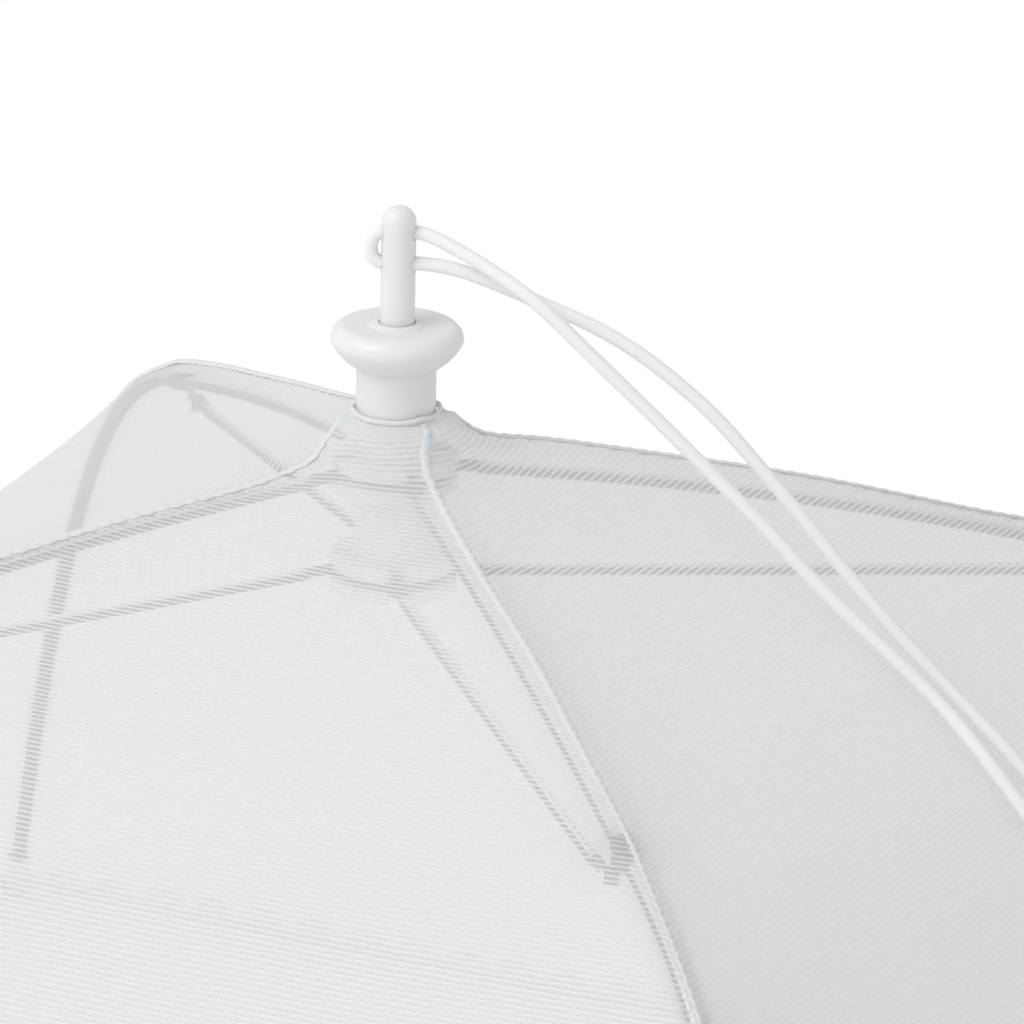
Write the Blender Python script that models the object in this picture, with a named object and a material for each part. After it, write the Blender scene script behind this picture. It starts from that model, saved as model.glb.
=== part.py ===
# Mesh food cover umbrella: a square net tent on four bent spring ribs, pulled open by a cord through its hub.
# World origin: centre of the footprint on the table, +Z up, the sides of the tent parallel to X and Y.
import math

import bmesh
import bpy
import numpy as np
from mathutils import Vector

MM = 0.001

# Overall frame: the ribs' pivots on the hub, their elbows, and their feet on the table
PIVOT_RADIUS = 12.0 * MM
PIVOT_HEIGHT = 218.0 * MM
ELBOW_RADIUS = 164.0 * MM
ELBOW_DROP = 33.0 * MM
ELBOW_HEIGHT = PIVOT_HEIGHT - ELBOW_DROP
FOOT_RADIUS = 305.0 * MM
CORNERS = ("front_right", "back_right", "back_left", "front_left")
FIRST_AZIMUTH = math.radians(-45)
QUARTER = math.radians(90)

# Clearances between pieces that touch or run on each other
GAP = 0.3 * MM
RUNNING_GAP = 0.35 * MM
OVERRUN = 2.0 * MM

# Hub: barrel, flange and notched disc in one moulding
BARREL_RADIUS = 9.1 * MM
BARREL_RISE = 25.0 * MM
BARREL_TOP = PIVOT_HEIGHT + BARREL_RISE
DISC_RADIUS = 14.5 * MM
DISC_HALF_HEIGHT = 4.0 * MM
GROOVE_RADIUS = 10.9 * MM
GROOVE_HALF_HEIGHT = 1.2 * MM
SLOT_FLOOR_RADIUS = 9.4 * MM
FLANGE_RADIUS = 15.2 * MM
FLANGE_RISE = 6.3 * MM
FLANGE_HEIGHT = BARREL_TOP + FLANGE_RISE
FLANGE_CROWN = 3.5 * MM
FLANGE_TOP = FLANGE_HEIGHT + FLANGE_CROWN
FLANGE_CROWN_SHARE = 0.78
FLANGE_FULLNESS = 1.47
COLLAR_RADIUS = 6.0 * MM
COLLAR_RISE = 0.8 * MM
COLLAR_TOP = FLANGE_TOP + COLLAR_RISE

# Pull rod with its domed tip and cross holes
ROD_RADIUS = 3.95 * MM
ROD_REACH = 27.4 * MM
ROD_TIP = COLLAR_TOP + ROD_REACH
HOLE_DROP = 6.4 * MM
HOLE_SPACING = 7.2 * MM
UPPER_HOLE_HEIGHT = ROD_TIP - HOLE_DROP
LOWER_HOLE_HEIGHT = UPPER_HOLE_HEIGHT - HOLE_SPACING
HOLE_RADIUS = 1.95 * MM
HOLE_AZIMUTH = math.radians(22)

# Runner on the foot of the rod
RUNNER_DROP = 24.0 * MM
RUNNER_HEIGHT = PIVOT_HEIGHT - RUNNER_DROP
RUNNER_NECK_RADIUS = 9.0 * MM
RUNNER_FLOOR = 2.0 * MM

# Wire rings in the grooves
WIRE_RADIUS = 0.45 * MM

# Ribs and struts: folded steel channels with flat eyes
RIB_WIDTH = 3.2 * MM
RIB_DEPTH = 2.6 * MM
STRUT_WIDTH = 2.6 * MM
STRUT_DEPTH = 2.4 * MM
CHANNEL_WALL = 0.6 * MM
EYE_RADIUS = 2.1 * MM
STRUT_NECK = 2.0 * MM
EYE_HOLE_RADIUS = 1.1 * MM
STRUT_RING_HOLE_RADIUS = 1.35 * MM
RIB_EYE_THICKNESS = 2.3 * MM
STRUT_EYE_THICKNESS = 2.0 * MM
EYE_REACH = 8.0 * MM
EYE_LAP = 3.0 * MM
STRUT_SIDE = 3.6 * MM
UPPER_BOW_SHARE = 0.35
LOWER_BOW_POWER = 2.75

# Clips on the ribs' elbows, with the rivets that carry the struts
CLIP_DROP = 5.5 * MM
CLIP_LENGTH = 9.0 * MM
CLIP_WALL = 0.6 * MM
CLIP_EAR_RADIUS = 2.4 * MM
RIVET_RADIUS = 0.8 * MM
RIVET_HEAD_RADIUS = 1.6 * MM
RIVET_HEAD_HEIGHT = 0.7 * MM

# Foot caps
CAP_RADIUS = 3.0 * MM
CAP_LENGTH = 12.0 * MM
CAP_FLOOR = 2.0 * MM

# Net canopy and what is sewn to it
NET_THICKNESS = 0.5 * MM
NET_RISE = 4.2 * MM
NET_FOOT_RISE = 5.2 * MM
NECK_RADIUS = 10.2 * MM
NECK_RISE = 13.5 * MM
NECK_HEIGHT = PIVOT_HEIGHT + NECK_RISE
NECK_BAND_RADIUS = 9.9 * MM
NECK_BAND_HEIGHT = 2.4 * MM
CROWN_EDGE_RADIUS = 17.0 * MM
LIFT_LENGTH = 24.0 * MM
PANEL_SAG = 7.5 * MM
SAG_POWER = 2.5
LACE_HEIGHT = 9.0 * MM
LACE_CLEARANCE = 0.8 * MM
SEAM_GAP = 0.4 * MM
FOLD_GAP = 0.2 * MM
BINDING_WIDTH = 1.8 * MM
BINDING_EDGE = 0.3 * MM
BINDING_HEIGHT = 0.6 * MM
BINDING_GAP = 2.5 * MM

# Pull cord: one closed loop, in two pieces that meet inside the rod's holes. The route gives x, y and the
# drop below the upper hole, in millimetres, read from the photograph over the net that carries the cord.
CORD_RADIUS = 1.6 * MM
CORD_STEP = 8.0 * MM
CORD_POINT_GAP = 1.0 * MM
BIGHT_REACH = 2.4 * MM
CORD_ROUTE = (
    (5.0, 2.0, 0.0), (12.0, 2.4, 2.0), (22.0, 2.8, 6.2), (34.0, 3.2, 12.6),
    (47.0, 4.6, 22.2), (61.0, 7.0, 33.6), (74.0, 9.0, 45.4), (88.0, 11.0, 58.6),
    (102.0, 13.2, 72.0), (116.0, 15.4, 83.8), (130.0, 17.2, 95.6), (144.5, 14.9, 107.5),
    (157.4, 13.0, 121.4), (169.8, 17.6, 139.5), (180.1, 15.6, 158.6), (188.1, 13.6, 176.1),
    (195.6, 12.6, 194.6), (199.8, 15.4, 205.9), (201.3, 21.0, 210.1), (200.2, 27.0, 207.0),
    (196.5, 30.4, 196.9), (189.1, 30.8, 178.4), (180.7, 29.8, 159.8), (170.8, 28.8, 141.1),
    (158.9, 23.6, 123.2), (145.9, 23.8, 108.7), (131.0, 25.4, 96.8), (117.0, 23.8, 84.2),
    (105.0, 22.0, 72.0), (94.0, 20.6, 60.2), (83.0, 19.0, 49.2), (73.0, 17.6, 40.2),
    (63.0, 16.0, 32.2), (53.0, 14.4, 25.6), (43.0, 12.6, 20.0), (32.0, 10.0, 15.0),
    (22.0, 7.2, 11.0), (13.0, 4.6, 8.2), (5.0, 2.0, 7.2),
)

ROUND_SEGMENTS = 40
WIRE_SIDES = 6
HOLE_SEGMENTS = 12
RIB_STEPS = 14
PANEL_LEVELS = 15
PANEL_STEPS = 6
CROWN_STEPS = 8


def clear_scene():
    for old in list(bpy.data.objects):
        bpy.data.objects.remove(old, do_unlink=True)


def material(name, colour, roughness, metallic=0.0):
    """A Principled material with one colour, roughness and metallic value."""
    made = bpy.data.materials.get(name) or bpy.data.materials.new(name)
    made.use_nodes = True
    shader = made.node_tree.nodes["Principled BSDF"]
    shader.inputs["Base Color"].default_value = (*colour, 1.0)
    shader.inputs["Roughness"].default_value = roughness
    shader.inputs["Metallic"].default_value = metallic
    return made


WHITE_PLASTIC = ("white plastic", (0.87, 0.87, 0.86), 0.38, 0.0)
STEEL = ("galvanised steel", (0.55, 0.56, 0.58), 0.42, 1.0)
NET = ("polyester net", (0.86, 0.87, 0.88), 0.8, 0.0)
TAPE = ("sewn tape", (0.88, 0.88, 0.88), 0.8, 0.0)
CORD = ("cotton cord", (0.88, 0.88, 0.87), 0.75, 0.0)
CAP_PLASTIC = ("cap plastic", (0.84, 0.84, 0.83), 0.45, 0.0)


def piece(name, verts, faces, finish, parent=None, at=(0, 0, 0), turn=0.0, smooth=True):
    """One named object of the assembly, from points and faces."""
    mesh = bpy.data.meshes.new(name)
    mesh.from_pydata([tuple(v) for v in verts], [], faces)
    mesh.validate()
    shape = bmesh.new()
    shape.from_mesh(mesh)
    bmesh.ops.recalc_face_normals(shape, faces=shape.faces)
    shape.to_mesh(mesh)
    shape.free()
    mesh.materials.append(material(*finish))
    if smooth:
        mesh.shade_smooth()
        mesh.set_sharp_from_angle(angle=math.radians(35))
    made = bpy.data.objects.new(name, mesh)
    bpy.context.scene.collection.objects.link(made)
    made.location = at
    made.rotation_euler = (0, 0, turn)
    made.parent = parent
    return made


def axis_empty(name, at, turn=0.0):
    """An empty on a joint's axis, which carries the pieces of one moving body."""
    made = bpy.data.objects.new(name, None)
    bpy.context.scene.collection.objects.link(made)
    made.location = at
    made.rotation_euler = (0, 0, turn)
    return made


def guide(made):
    """Marks a cutter or an added body: it shapes other pieces and isn't a piece itself."""
    made.hide_render = True
    made.display_type = "WIRE"
    return made


def boolean(target, other, operation):
    """Cuts or joins another body to target with the exact solver."""
    made = target.modifiers.new(operation.lower(), "BOOLEAN")
    made.operation = operation
    made.solver = "EXACT"
    made.object = guide(other)


def azimuth(corner):
    return FIRST_AZIMUTH + QUARTER * CORNERS.index(corner)


def radial(radius, height, turn, side=0.0):
    """A world point at a radius and a sideways offset in the vertical plane at an azimuth."""
    x = radius * math.cos(turn) - side * math.sin(turn)
    y = radius * math.sin(turn) + side * math.cos(turn)
    return Vector((x, y, height))


def turned(profile, segments=ROUND_SEGMENTS, closed=True):
    """A body of revolution about Z from (radius, height) points. A closed profile is a ring."""
    verts, rings = [], []
    for radius, height in profile:
        if radius == 0:
            rings.append([len(verts)])
            verts.append((0, 0, height))
            continue
        rings.append(list(range(len(verts), len(verts) + segments)))
        for k in range(segments):
            angle = 2 * math.pi * k / segments
            verts.append((radius * math.cos(angle), radius * math.sin(angle), height))
    pairs = list(zip(rings, rings[1:] + rings[:1])) if closed else list(zip(rings, rings[1:]))
    faces = []
    for low, high in pairs:
        for k in range(segments):
            after = (k + 1) % segments
            if len(low) == 1 and len(high) == 1:
                continue
            if len(low) == 1:
                faces.append((low[0], high[k], high[after]))
            elif len(high) == 1:
                faces.append((low[k], low[after], high[0]))
            else:
                faces.append((low[k], low[after], high[after], high[k]))
    return verts, faces


def swept(path, sections):
    """Carries a closed section along a path in the plane of x and z. Sections are (side, outward) points."""
    path = np.array(path)
    along = np.gradient(path, axis=0)
    along /= np.linalg.norm(along, axis=1)[:, None]
    outward = np.stack([-along[:, 1], along[:, 0]], axis=1)
    verts, count = [], len(sections)
    for point, normal in zip(path, outward):
        for side, out in sections:
            verts.append((point[0] + normal[0] * out, side, point[1] + normal[1] * out))
    faces = []
    for row in range(len(path) - 1):
        for k in range(count):
            after = (k + 1) % count
            a, b = row * count + k, row * count + after
            faces.append((a, b, b + count, a + count))
    faces.append(tuple(range(count)))
    faces.append(tuple(len(verts) - 1 - k for k in range(count)))
    return verts, faces


def channel(width, depth):
    """The closed section of a folded channel, its open side facing inward."""
    half, inner = width / 2, width / 2 - CHANNEL_WALL
    low, high = -depth / 2, depth / 2
    roof = high - CHANNEL_WALL
    return ((-half, low), (-inner, low), (-inner, roof), (inner, roof), (inner, low), (half, low),
            (half, high), (-half, high))


def ridge(width, low, edge, high):
    """The closed section of a seam's ridge: flat below, thin at its edges and highest in the middle."""
    half, quarter = width / 2, width / 4
    near_top = (edge + 2 * high) / 3
    right = [(half, low), (half, edge), (quarter, near_top), (0, high)]
    return (*right, (-quarter, near_top), (-half, edge), (-half, low))


def rod_between(start, end, radius, segments=HOLE_SEGMENTS):
    """A plain cylinder between two points, used as a pin or as a cutter."""
    start, end = Vector(start), Vector(end)
    turn = (end - start).to_track_quat("Z", "Y").to_matrix()
    verts = []
    for centre in (start, end):
        for k in range(segments):
            angle = 2 * math.pi * k / segments
            verts.append(centre + turn @ Vector((radius * math.cos(angle), radius * math.sin(angle), 0)))
    faces = []
    for k in range(segments):
        after = (k + 1) % segments
        faces.append((k, after, segments + after, segments + k))
    faces.append(tuple(range(segments)))
    faces.append(tuple(range(segments, 2 * segments)))
    return verts, faces


def block(low, high):
    """A box between two corners, used as a cutter."""
    verts = [(x, y, z) for z in (low[2], high[2]) for y in (low[1], high[1]) for x in (low[0], high[0])]
    faces = [(0, 1, 3, 2), (4, 5, 7, 6), (0, 1, 5, 4), (2, 3, 7, 6), (0, 2, 6, 4), (1, 3, 7, 5)]
    return verts, faces


def tab(pivot, direction, length, radius, thickness, side=0.0, shank=None):
    """A flat plate in the plane of x and z: a round head about its pivot, then a straight shank."""
    half = radius if shank is None else shank / 2
    first = math.asin(half / radius)
    direction = np.array(direction) / np.linalg.norm(direction)
    across = np.array((-direction[1], direction[0]))
    outline = []
    for k in range(HOLE_SEGMENTS + 1):
        angle = first + 2 * (math.pi - first) * k / HOLE_SEGMENTS
        outline.append(np.array(pivot) + radius * (math.cos(angle) * direction + math.sin(angle) * across))
    outline.append(np.array(pivot) + length * direction - half * across)
    outline.append(np.array(pivot) + length * direction + half * across)
    count = len(outline)
    verts = [(p[0], side - thickness / 2, p[1]) for p in outline]
    verts += [(p[0], side + thickness / 2, p[1]) for p in outline]
    faces = [(k, (k + 1) % count, count + (k + 1) % count, count + k) for k in range(count)]
    faces.append(tuple(range(count)))
    faces.append(tuple(range(count, 2 * count)))
    return verts, faces


def upper_rib(share):
    """A point of the rib from its pivot, at 0, to its elbow, at 1, as (radius, height)."""
    drop = (1 - UPPER_BOW_SHARE) * share + UPPER_BOW_SHARE * share * share
    radius = PIVOT_RADIUS + (ELBOW_RADIUS - PIVOT_RADIUS) * share
    return radius, PIVOT_HEIGHT - (PIVOT_HEIGHT - ELBOW_HEIGHT) * drop


def elbow_slope():
    """How steeply the rib falls at its elbow."""
    return (1 + UPPER_BOW_SHARE) * (PIVOT_HEIGHT - ELBOW_HEIGHT) / (ELBOW_RADIUS - PIVOT_RADIUS)


def lower_rib(share):
    """A point of the rib from its elbow, at 0, to the table, at 1, as (radius, height)."""
    straight = elbow_slope() * (FOOT_RADIUS - ELBOW_RADIUS) / ELBOW_HEIGHT
    drop = straight * share + (1 - straight) * share**LOWER_BOW_POWER
    return ELBOW_RADIUS + (FOOT_RADIUS - ELBOW_RADIUS) * share, ELBOW_HEIGHT * (1 - drop)


def rib_line(steps=RIB_STEPS):
    """The rib's whole centre line, pivot to table."""
    first = [upper_rib(k / steps) for k in range(steps)]
    return np.array(first + [lower_rib(k / steps) for k in range(steps + 1)])


def evenly(points, count):
    """The same line with its points at equal distances."""
    run = np.concatenate([[0], np.cumsum(np.linalg.norm(np.diff(points, axis=0), axis=1))])
    at = np.linspace(0, run[-1], count)
    return np.stack([np.interp(at, run, points[:, k]) for k in range(points.shape[1])], axis=1)


def trimmed(points, start, end=0.0):
    """The line without a length at its start and at its end."""
    run = np.concatenate([[0], np.cumsum(np.linalg.norm(np.diff(points, axis=0), axis=1))])
    keep = [p for p, r in zip(points, run) if start < r < run[-1] - end]
    ends = [[np.interp(at, run, points[:, k]) for k in (0, 1)] for at in (start, run[-1] - end)]
    return np.array([ends[0], *keep, ends[1]])


def clip_pivot():
    """The rivet's place under the rib's elbow, as (radius, height)."""
    slope = elbow_slope()
    length = math.hypot(slope, 1)
    return ELBOW_RADIUS - CLIP_DROP * slope / length, ELBOW_HEIGHT - CLIP_DROP / length


def build_hub(root):
    """Barrel, lens-shaped flange and notched disc, with the bore that the rod runs in."""
    bore = ROD_RADIUS + RUNNING_GAP
    low, high = PIVOT_HEIGHT - DISC_HALF_HEIGHT, PIVOT_HEIGHT + DISC_HALF_HEIGHT
    profile = [(bore, low), (DISC_RADIUS, low)]
    for height in (PIVOT_HEIGHT - GROOVE_HALF_HEIGHT, PIVOT_HEIGHT + GROOVE_HALF_HEIGHT):
        ends = [(DISC_RADIUS, height), (GROOVE_RADIUS, height)]
        profile += ends if height < PIVOT_HEIGHT else ends[::-1]
    profile += [(DISC_RADIUS, high), (BARREL_RADIUS, high), (BARREL_RADIUS, BARREL_TOP)]
    for k in range(1, 7):
        angle = math.pi / 2 * k / 6
        radius = BARREL_RADIUS + (FLANGE_RADIUS - BARREL_RADIUS) * math.sin(angle) ** FLANGE_FULLNESS
        profile.append((radius, FLANGE_HEIGHT - FLANGE_RISE * math.cos(angle) ** FLANGE_FULLNESS))
    crown = FLANGE_RADIUS * FLANGE_CROWN_SHARE
    for k in range(1, 5):
        angle = math.pi / 2 * k / 4
        radius = crown + (FLANGE_RADIUS - crown) * math.cos(angle)
        profile.append((radius, FLANGE_HEIGHT + (FLANGE_TOP - FLANGE_HEIGHT) * math.sin(angle)))
    profile += [(COLLAR_RADIUS, FLANGE_TOP), (COLLAR_RADIUS, COLLAR_TOP), (bore, COLLAR_TOP)]
    verts, faces = turned(profile)
    hub = piece("hub", verts, faces, WHITE_PLASTIC, parent=root)
    width = RIB_WIDTH / 2 + RUNNING_GAP
    for corner in CORNERS:
        near = (SLOT_FLOOR_RADIUS, -width, low - OVERRUN)
        far = (DISC_RADIUS + OVERRUN, width, high + GAP)
        verts, faces = block(near, far)
        cutter = piece("cut_hub_slot_" + corner, verts, faces, WHITE_PLASTIC, turn=azimuth(corner))
        boolean(hub, cutter, "DIFFERENCE")


def build_wire_ring(name, ring_radius, height, parent, at):
    """A wire ring that lies in a groove and carries four eyes."""
    profile = []
    for k in range(WIRE_SIDES):
        angle = 2 * math.pi * k / WIRE_SIDES
        profile.append((ring_radius + WIRE_RADIUS * math.cos(angle), height + WIRE_RADIUS * math.sin(angle)))
    verts, faces = turned(profile)
    piece(name, verts, faces, STEEL, parent=parent, at=at)


def build_plunger():
    """The rod, the runner on its foot and the runner's wire ring, which slide together."""
    slide = axis_empty("plunger_axis", (0, 0, RUNNER_HEIGHT))
    back = (0, 0, -RUNNER_HEIGHT)
    foot = RUNNER_HEIGHT - DISC_HALF_HEIGHT + RUNNER_FLOOR + GAP
    profile = [(0, foot), (ROD_RADIUS, foot)]
    for k in range(7):
        angle = math.pi / 2 * k / 6
        height = ROD_TIP - ROD_RADIUS + ROD_RADIUS * math.sin(angle)
        profile.append((ROD_RADIUS * math.cos(angle) if k < 6 else 0, height))
    verts, faces = turned(profile, closed=False)
    rod = piece("pull_rod", verts, faces, WHITE_PLASTIC, parent=slide, at=back)
    for name, height in (("upper", UPPER_HOLE_HEIGHT), ("lower", LOWER_HOLE_HEIGHT)):
        reach = ROD_RADIUS + OVERRUN
        verts, faces = rod_between((-reach, 0, height), (reach, 0, height), HOLE_RADIUS)
        boolean(rod, piece(f"cut_{name}_hole", verts, faces, WHITE_PLASTIC, turn=HOLE_AZIMUTH), "DIFFERENCE")

    low, high = RUNNER_HEIGHT - DISC_HALF_HEIGHT, RUNNER_HEIGHT + DISC_HALF_HEIGHT
    neck_top = PIVOT_HEIGHT - DISC_HALF_HEIGHT - GAP
    bore = ROD_RADIUS + GAP
    groove_low, groove_high = RUNNER_HEIGHT - GROOVE_HALF_HEIGHT, RUNNER_HEIGHT + GROOVE_HALF_HEIGHT
    profile = [(0, low), (DISC_RADIUS, low), (DISC_RADIUS, groove_low), (GROOVE_RADIUS, groove_low)]
    profile += [(GROOVE_RADIUS, groove_high), (DISC_RADIUS, groove_high), (DISC_RADIUS, high)]
    profile += [(RUNNER_NECK_RADIUS, high), (RUNNER_NECK_RADIUS, neck_top), (bore, neck_top)]
    profile += [(bore, low + RUNNER_FLOOR), (0, low + RUNNER_FLOOR)]
    verts, faces = turned(profile, closed=False)
    runner = piece("runner", verts, faces, WHITE_PLASTIC, parent=slide, at=back)
    half = STRUT_WIDTH / 2 + RUNNING_GAP
    for corner in CORNERS:
        near = (SLOT_FLOOR_RADIUS, -STRUT_SIDE - half, low - OVERRUN)
        far = (DISC_RADIUS + OVERRUN, -STRUT_SIDE + half, high + GAP)
        verts, faces = block(near, far)
        cutter = piece("cut_runner_slot_" + corner, verts, faces, WHITE_PLASTIC, turn=azimuth(corner))
        boolean(runner, cutter, "DIFFERENCE")
    build_wire_ring("runner_tie_wire", math.hypot(PIVOT_RADIUS, STRUT_SIDE), RUNNER_HEIGHT, slide, back)
    return slide


def build_rib(corner):
    """A bent channel rib with its flat eye, the clip, the rivet and the foot cap that it carries."""
    turn = azimuth(corner)
    hinge = axis_empty("rib_axis_" + corner, radial(PIVOT_RADIUS, PIVOT_HEIGHT, turn), turn)
    back = (-PIVOT_RADIUS, 0, -PIVOT_HEIGHT)
    line = rib_line()
    pivot = (PIVOT_RADIUS, PIVOT_HEIGHT)
    body = trimmed(line, EYE_REACH, CAP_FLOOR + GAP)
    verts, faces = swept(evenly(body, 2 * RIB_STEPS), channel(RIB_WIDTH, RIB_DEPTH))
    rib = piece("rib_" + corner, verts, faces, STEEL, parent=hinge, at=back)
    start = np.array(upper_rib(1 / RIB_STEPS)) - np.array(pivot)
    verts, faces = tab(pivot, start, EYE_REACH + EYE_LAP, EYE_RADIUS, RIB_EYE_THICKNESS)
    boolean(rib, piece("add_rib_eye_" + corner, verts, faces, STEEL, parent=hinge, at=back), "UNION")
    one_side, other_side = (pivot[0], -RIB_WIDTH, pivot[1]), (pivot[0], RIB_WIDTH, pivot[1])
    verts, faces = rod_between(one_side, other_side, EYE_HOLE_RADIUS)
    boolean(rib, piece("cut_rib_eye_" + corner, verts, faces, STEEL, parent=hinge, at=back), "DIFFERENCE")
    build_clip(corner, hinge, back)
    build_cap(corner, hinge, back, line)
    return hinge


def build_clip(corner, hinge, back):
    """A folded sleeve round the rib's elbow, with an ear and the rivet that the strut turns on."""
    elbow = np.array((ELBOW_RADIUS, ELBOW_HEIGHT))
    along = np.array((1.0, -elbow_slope())) / math.hypot(1, elbow_slope())
    pivot = np.array(clip_pivot())
    inner = RIB_WIDTH / 2 + GAP
    outer = inner + CLIP_WALL
    low, high = -RIB_DEPTH / 2 - GAP, RIB_DEPTH / 2 + GAP
    path = [elbow - along * CLIP_LENGTH / 2, elbow, elbow + along * CLIP_LENGTH / 2]
    under, over = low - CLIP_WALL, high + CLIP_WALL
    verts, faces = swept(path, ((-outer, under), (outer, under), (outer, over), (-outer, over)))
    clip = piece("rib_clip_" + corner, verts, faces, STEEL, parent=hinge, at=back, smooth=False)
    ear = -STRUT_SIDE + STRUT_EYE_THICKNESS / 2 + GAP + CLIP_WALL / 2
    verts, faces = tab(pivot, elbow - pivot, CLIP_DROP + high, CLIP_EAR_RADIUS, CLIP_WALL, ear)
    boolean(clip, piece("add_ear_" + corner, verts, faces, STEEL, parent=hinge, at=back), "UNION")
    path = [elbow - along * CLIP_LENGTH, elbow, elbow + along * CLIP_LENGTH]
    verts, faces = swept(path, ((-inner, low), (inner, low), (inner, high), (-inner, high)))
    cutter = piece("cut_clip_sleeve_" + corner, verts, faces, STEEL, parent=hinge, at=back)
    boolean(clip, cutter, "DIFFERENCE")
    pin_hole = RIVET_RADIUS + GAP
    one_side, other_side = (pivot[0], -CLIP_LENGTH, pivot[1]), (pivot[0], CLIP_LENGTH, pivot[1])
    verts, faces = rod_between(one_side, other_side, pin_hole)
    boolean(clip, piece("cut_clip_hole_" + corner, verts, faces, STEEL, parent=hinge, at=back), "DIFFERENCE")

    near_side = ear + CLIP_WALL / 2 + GAP
    far_side = -STRUT_SIDE - STRUT_EYE_THICKNESS / 2 - GAP
    profile = [(0, far_side - RIVET_HEAD_HEIGHT), (RIVET_HEAD_RADIUS, far_side - RIVET_HEAD_HEIGHT)]
    profile += [(RIVET_HEAD_RADIUS, far_side), (RIVET_RADIUS, far_side), (RIVET_RADIUS, near_side)]
    profile += [(RIVET_HEAD_RADIUS, near_side), (RIVET_HEAD_RADIUS, near_side + RIVET_HEAD_HEIGHT)]
    profile += [(0, near_side + RIVET_HEAD_HEIGHT)]
    verts, faces = turned(profile, segments=HOLE_SEGMENTS, closed=False)
    verts = [(pivot[0] + v[0], v[2], pivot[1] + v[1]) for v in verts]
    piece("clip_rivet_" + corner, verts, faces, STEEL, parent=hinge, at=back)


def build_cap(corner, hinge, back, line):
    """A moulded cap on the rib's end, cut flat where it stands on the table."""
    end, before = line[-1], line[-2]
    along = (end - before) / np.linalg.norm(end - before)
    socket = math.hypot(RIB_WIDTH, RIB_DEPTH) / 2 + GAP
    profile = [(0, -OVERRUN), (CAP_RADIUS, -OVERRUN), (CAP_RADIUS, CAP_LENGTH), (socket, CAP_LENGTH)]
    profile += [(socket, CAP_FLOOR), (0, CAP_FLOOR)]
    verts, faces = turned(profile, segments=HOLE_SEGMENTS * 2, closed=False)
    tilt = Vector((-along[0], 0, -along[1])).to_track_quat("Z", "Y").to_matrix()
    verts = [tilt @ Vector(v) + Vector((end[0], 0, end[1])) for v in verts]
    cap = piece("foot_cap_" + corner, verts, faces, CAP_PLASTIC, parent=hinge, at=back)
    reach = CAP_LENGTH
    verts, faces = block((end[0] - reach, -reach, -reach), (end[0] + reach, reach, 0))
    cutter = piece("cut_cap_floor_" + corner, verts, faces, CAP_PLASTIC, parent=hinge, at=back)
    boolean(cap, cutter, "DIFFERENCE")


def build_strut(corner):
    """A straight channel strut beside its rib, with an eye at the clip and one in the runner's slot."""
    turn = azimuth(corner)
    outer, inner = np.array(clip_pivot()), np.array((PIVOT_RADIUS, RUNNER_HEIGHT))
    place = radial(outer[0], outer[1], turn, -STRUT_SIDE)
    hinge = axis_empty("strut_axis_" + corner, place, turn)
    back = (-outer[0], STRUT_SIDE, -outer[1])
    along = (outer - inner) / np.linalg.norm(outer - inner)
    path = [inner + along * EYE_REACH, outer - along * EYE_REACH]
    section = [(side - STRUT_SIDE, out) for side, out in channel(STRUT_WIDTH, STRUT_DEPTH)]
    verts, faces = swept(path, section)
    strut = piece("strut_" + corner, verts, faces, STEEL, parent=hinge, at=back)
    ends = (("inner", inner, along, STRUT_RING_HOLE_RADIUS), ("outer", outer, -along, EYE_HOLE_RADIUS))
    for name, pivot, direction, hole in ends:
        reach = EYE_REACH + EYE_LAP
        verts, faces = tab(pivot, direction, reach, EYE_RADIUS, STRUT_EYE_THICKNESS, -STRUT_SIDE, STRUT_NECK)
        eye = piece(f"add_{name}_eye_" + corner, verts, faces, STEEL, parent=hinge, at=back)
        boolean(strut, eye, "UNION")
        start = (pivot[0], -STRUT_SIDE - STRUT_WIDTH, pivot[1])
        end = (pivot[0], -STRUT_SIDE + STRUT_WIDTH, pivot[1])
        verts, faces = rod_between(start, end, hole)
        cutter = piece(f"cut_{name}_eye_" + corner, verts, faces, STEEL, parent=hinge, at=back)
        boolean(strut, cutter, "DIFFERENCE")


def seam_line():
    """Where the net lies above the rib, from the hub's neck to the table, as (radius, height) points."""
    line = evenly(rib_line(4 * RIB_STEPS), 8 * RIB_STEPS)
    along = np.gradient(line, axis=0)
    along /= np.linalg.norm(along, axis=1)[:, None]
    lift = (NECK_RISE - NET_RISE) * np.exp(-(line[:, 0] - NECK_RADIUS) / LIFT_LENGTH)
    down = np.clip((line[:, 0] - ELBOW_RADIUS) / (FOOT_RADIUS - ELBOW_RADIUS), 0, 1)
    rise = NET_RISE + lift + (NET_FOOT_RISE - NET_RISE) * down
    seam = np.stack([line[:, 0] - along[:, 1] * rise, line[:, 1] + along[:, 0] * rise], axis=1)
    return np.concatenate([[(NECK_RADIUS, NECK_HEIGHT)], seam])


def net_point(radius, height, across, share):
    """A point of a side panel: across is 0 on the seam and 1 on the middle, share runs from neck to hem."""
    corner = radius * math.cos(QUARTER / 2)
    flat = np.array((corner, corner * (1 - across)))
    angle = (1 - across) * QUARTER / 2
    arc = radius * np.array((math.cos(angle), math.sin(angle)))
    roundness = math.exp(-(radius - NECK_RADIUS) / LIFT_LENGTH)
    x, y = flat * (1 - roundness) + arc * roundness
    sag = PANEL_SAG * 4 * share * (1 - share) * (1 - (1 - across) ** SAG_POWER)
    return Vector((x - sag * math.cos(QUARTER / 2), y, height - sag * math.sin(QUARTER / 2)))


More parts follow.
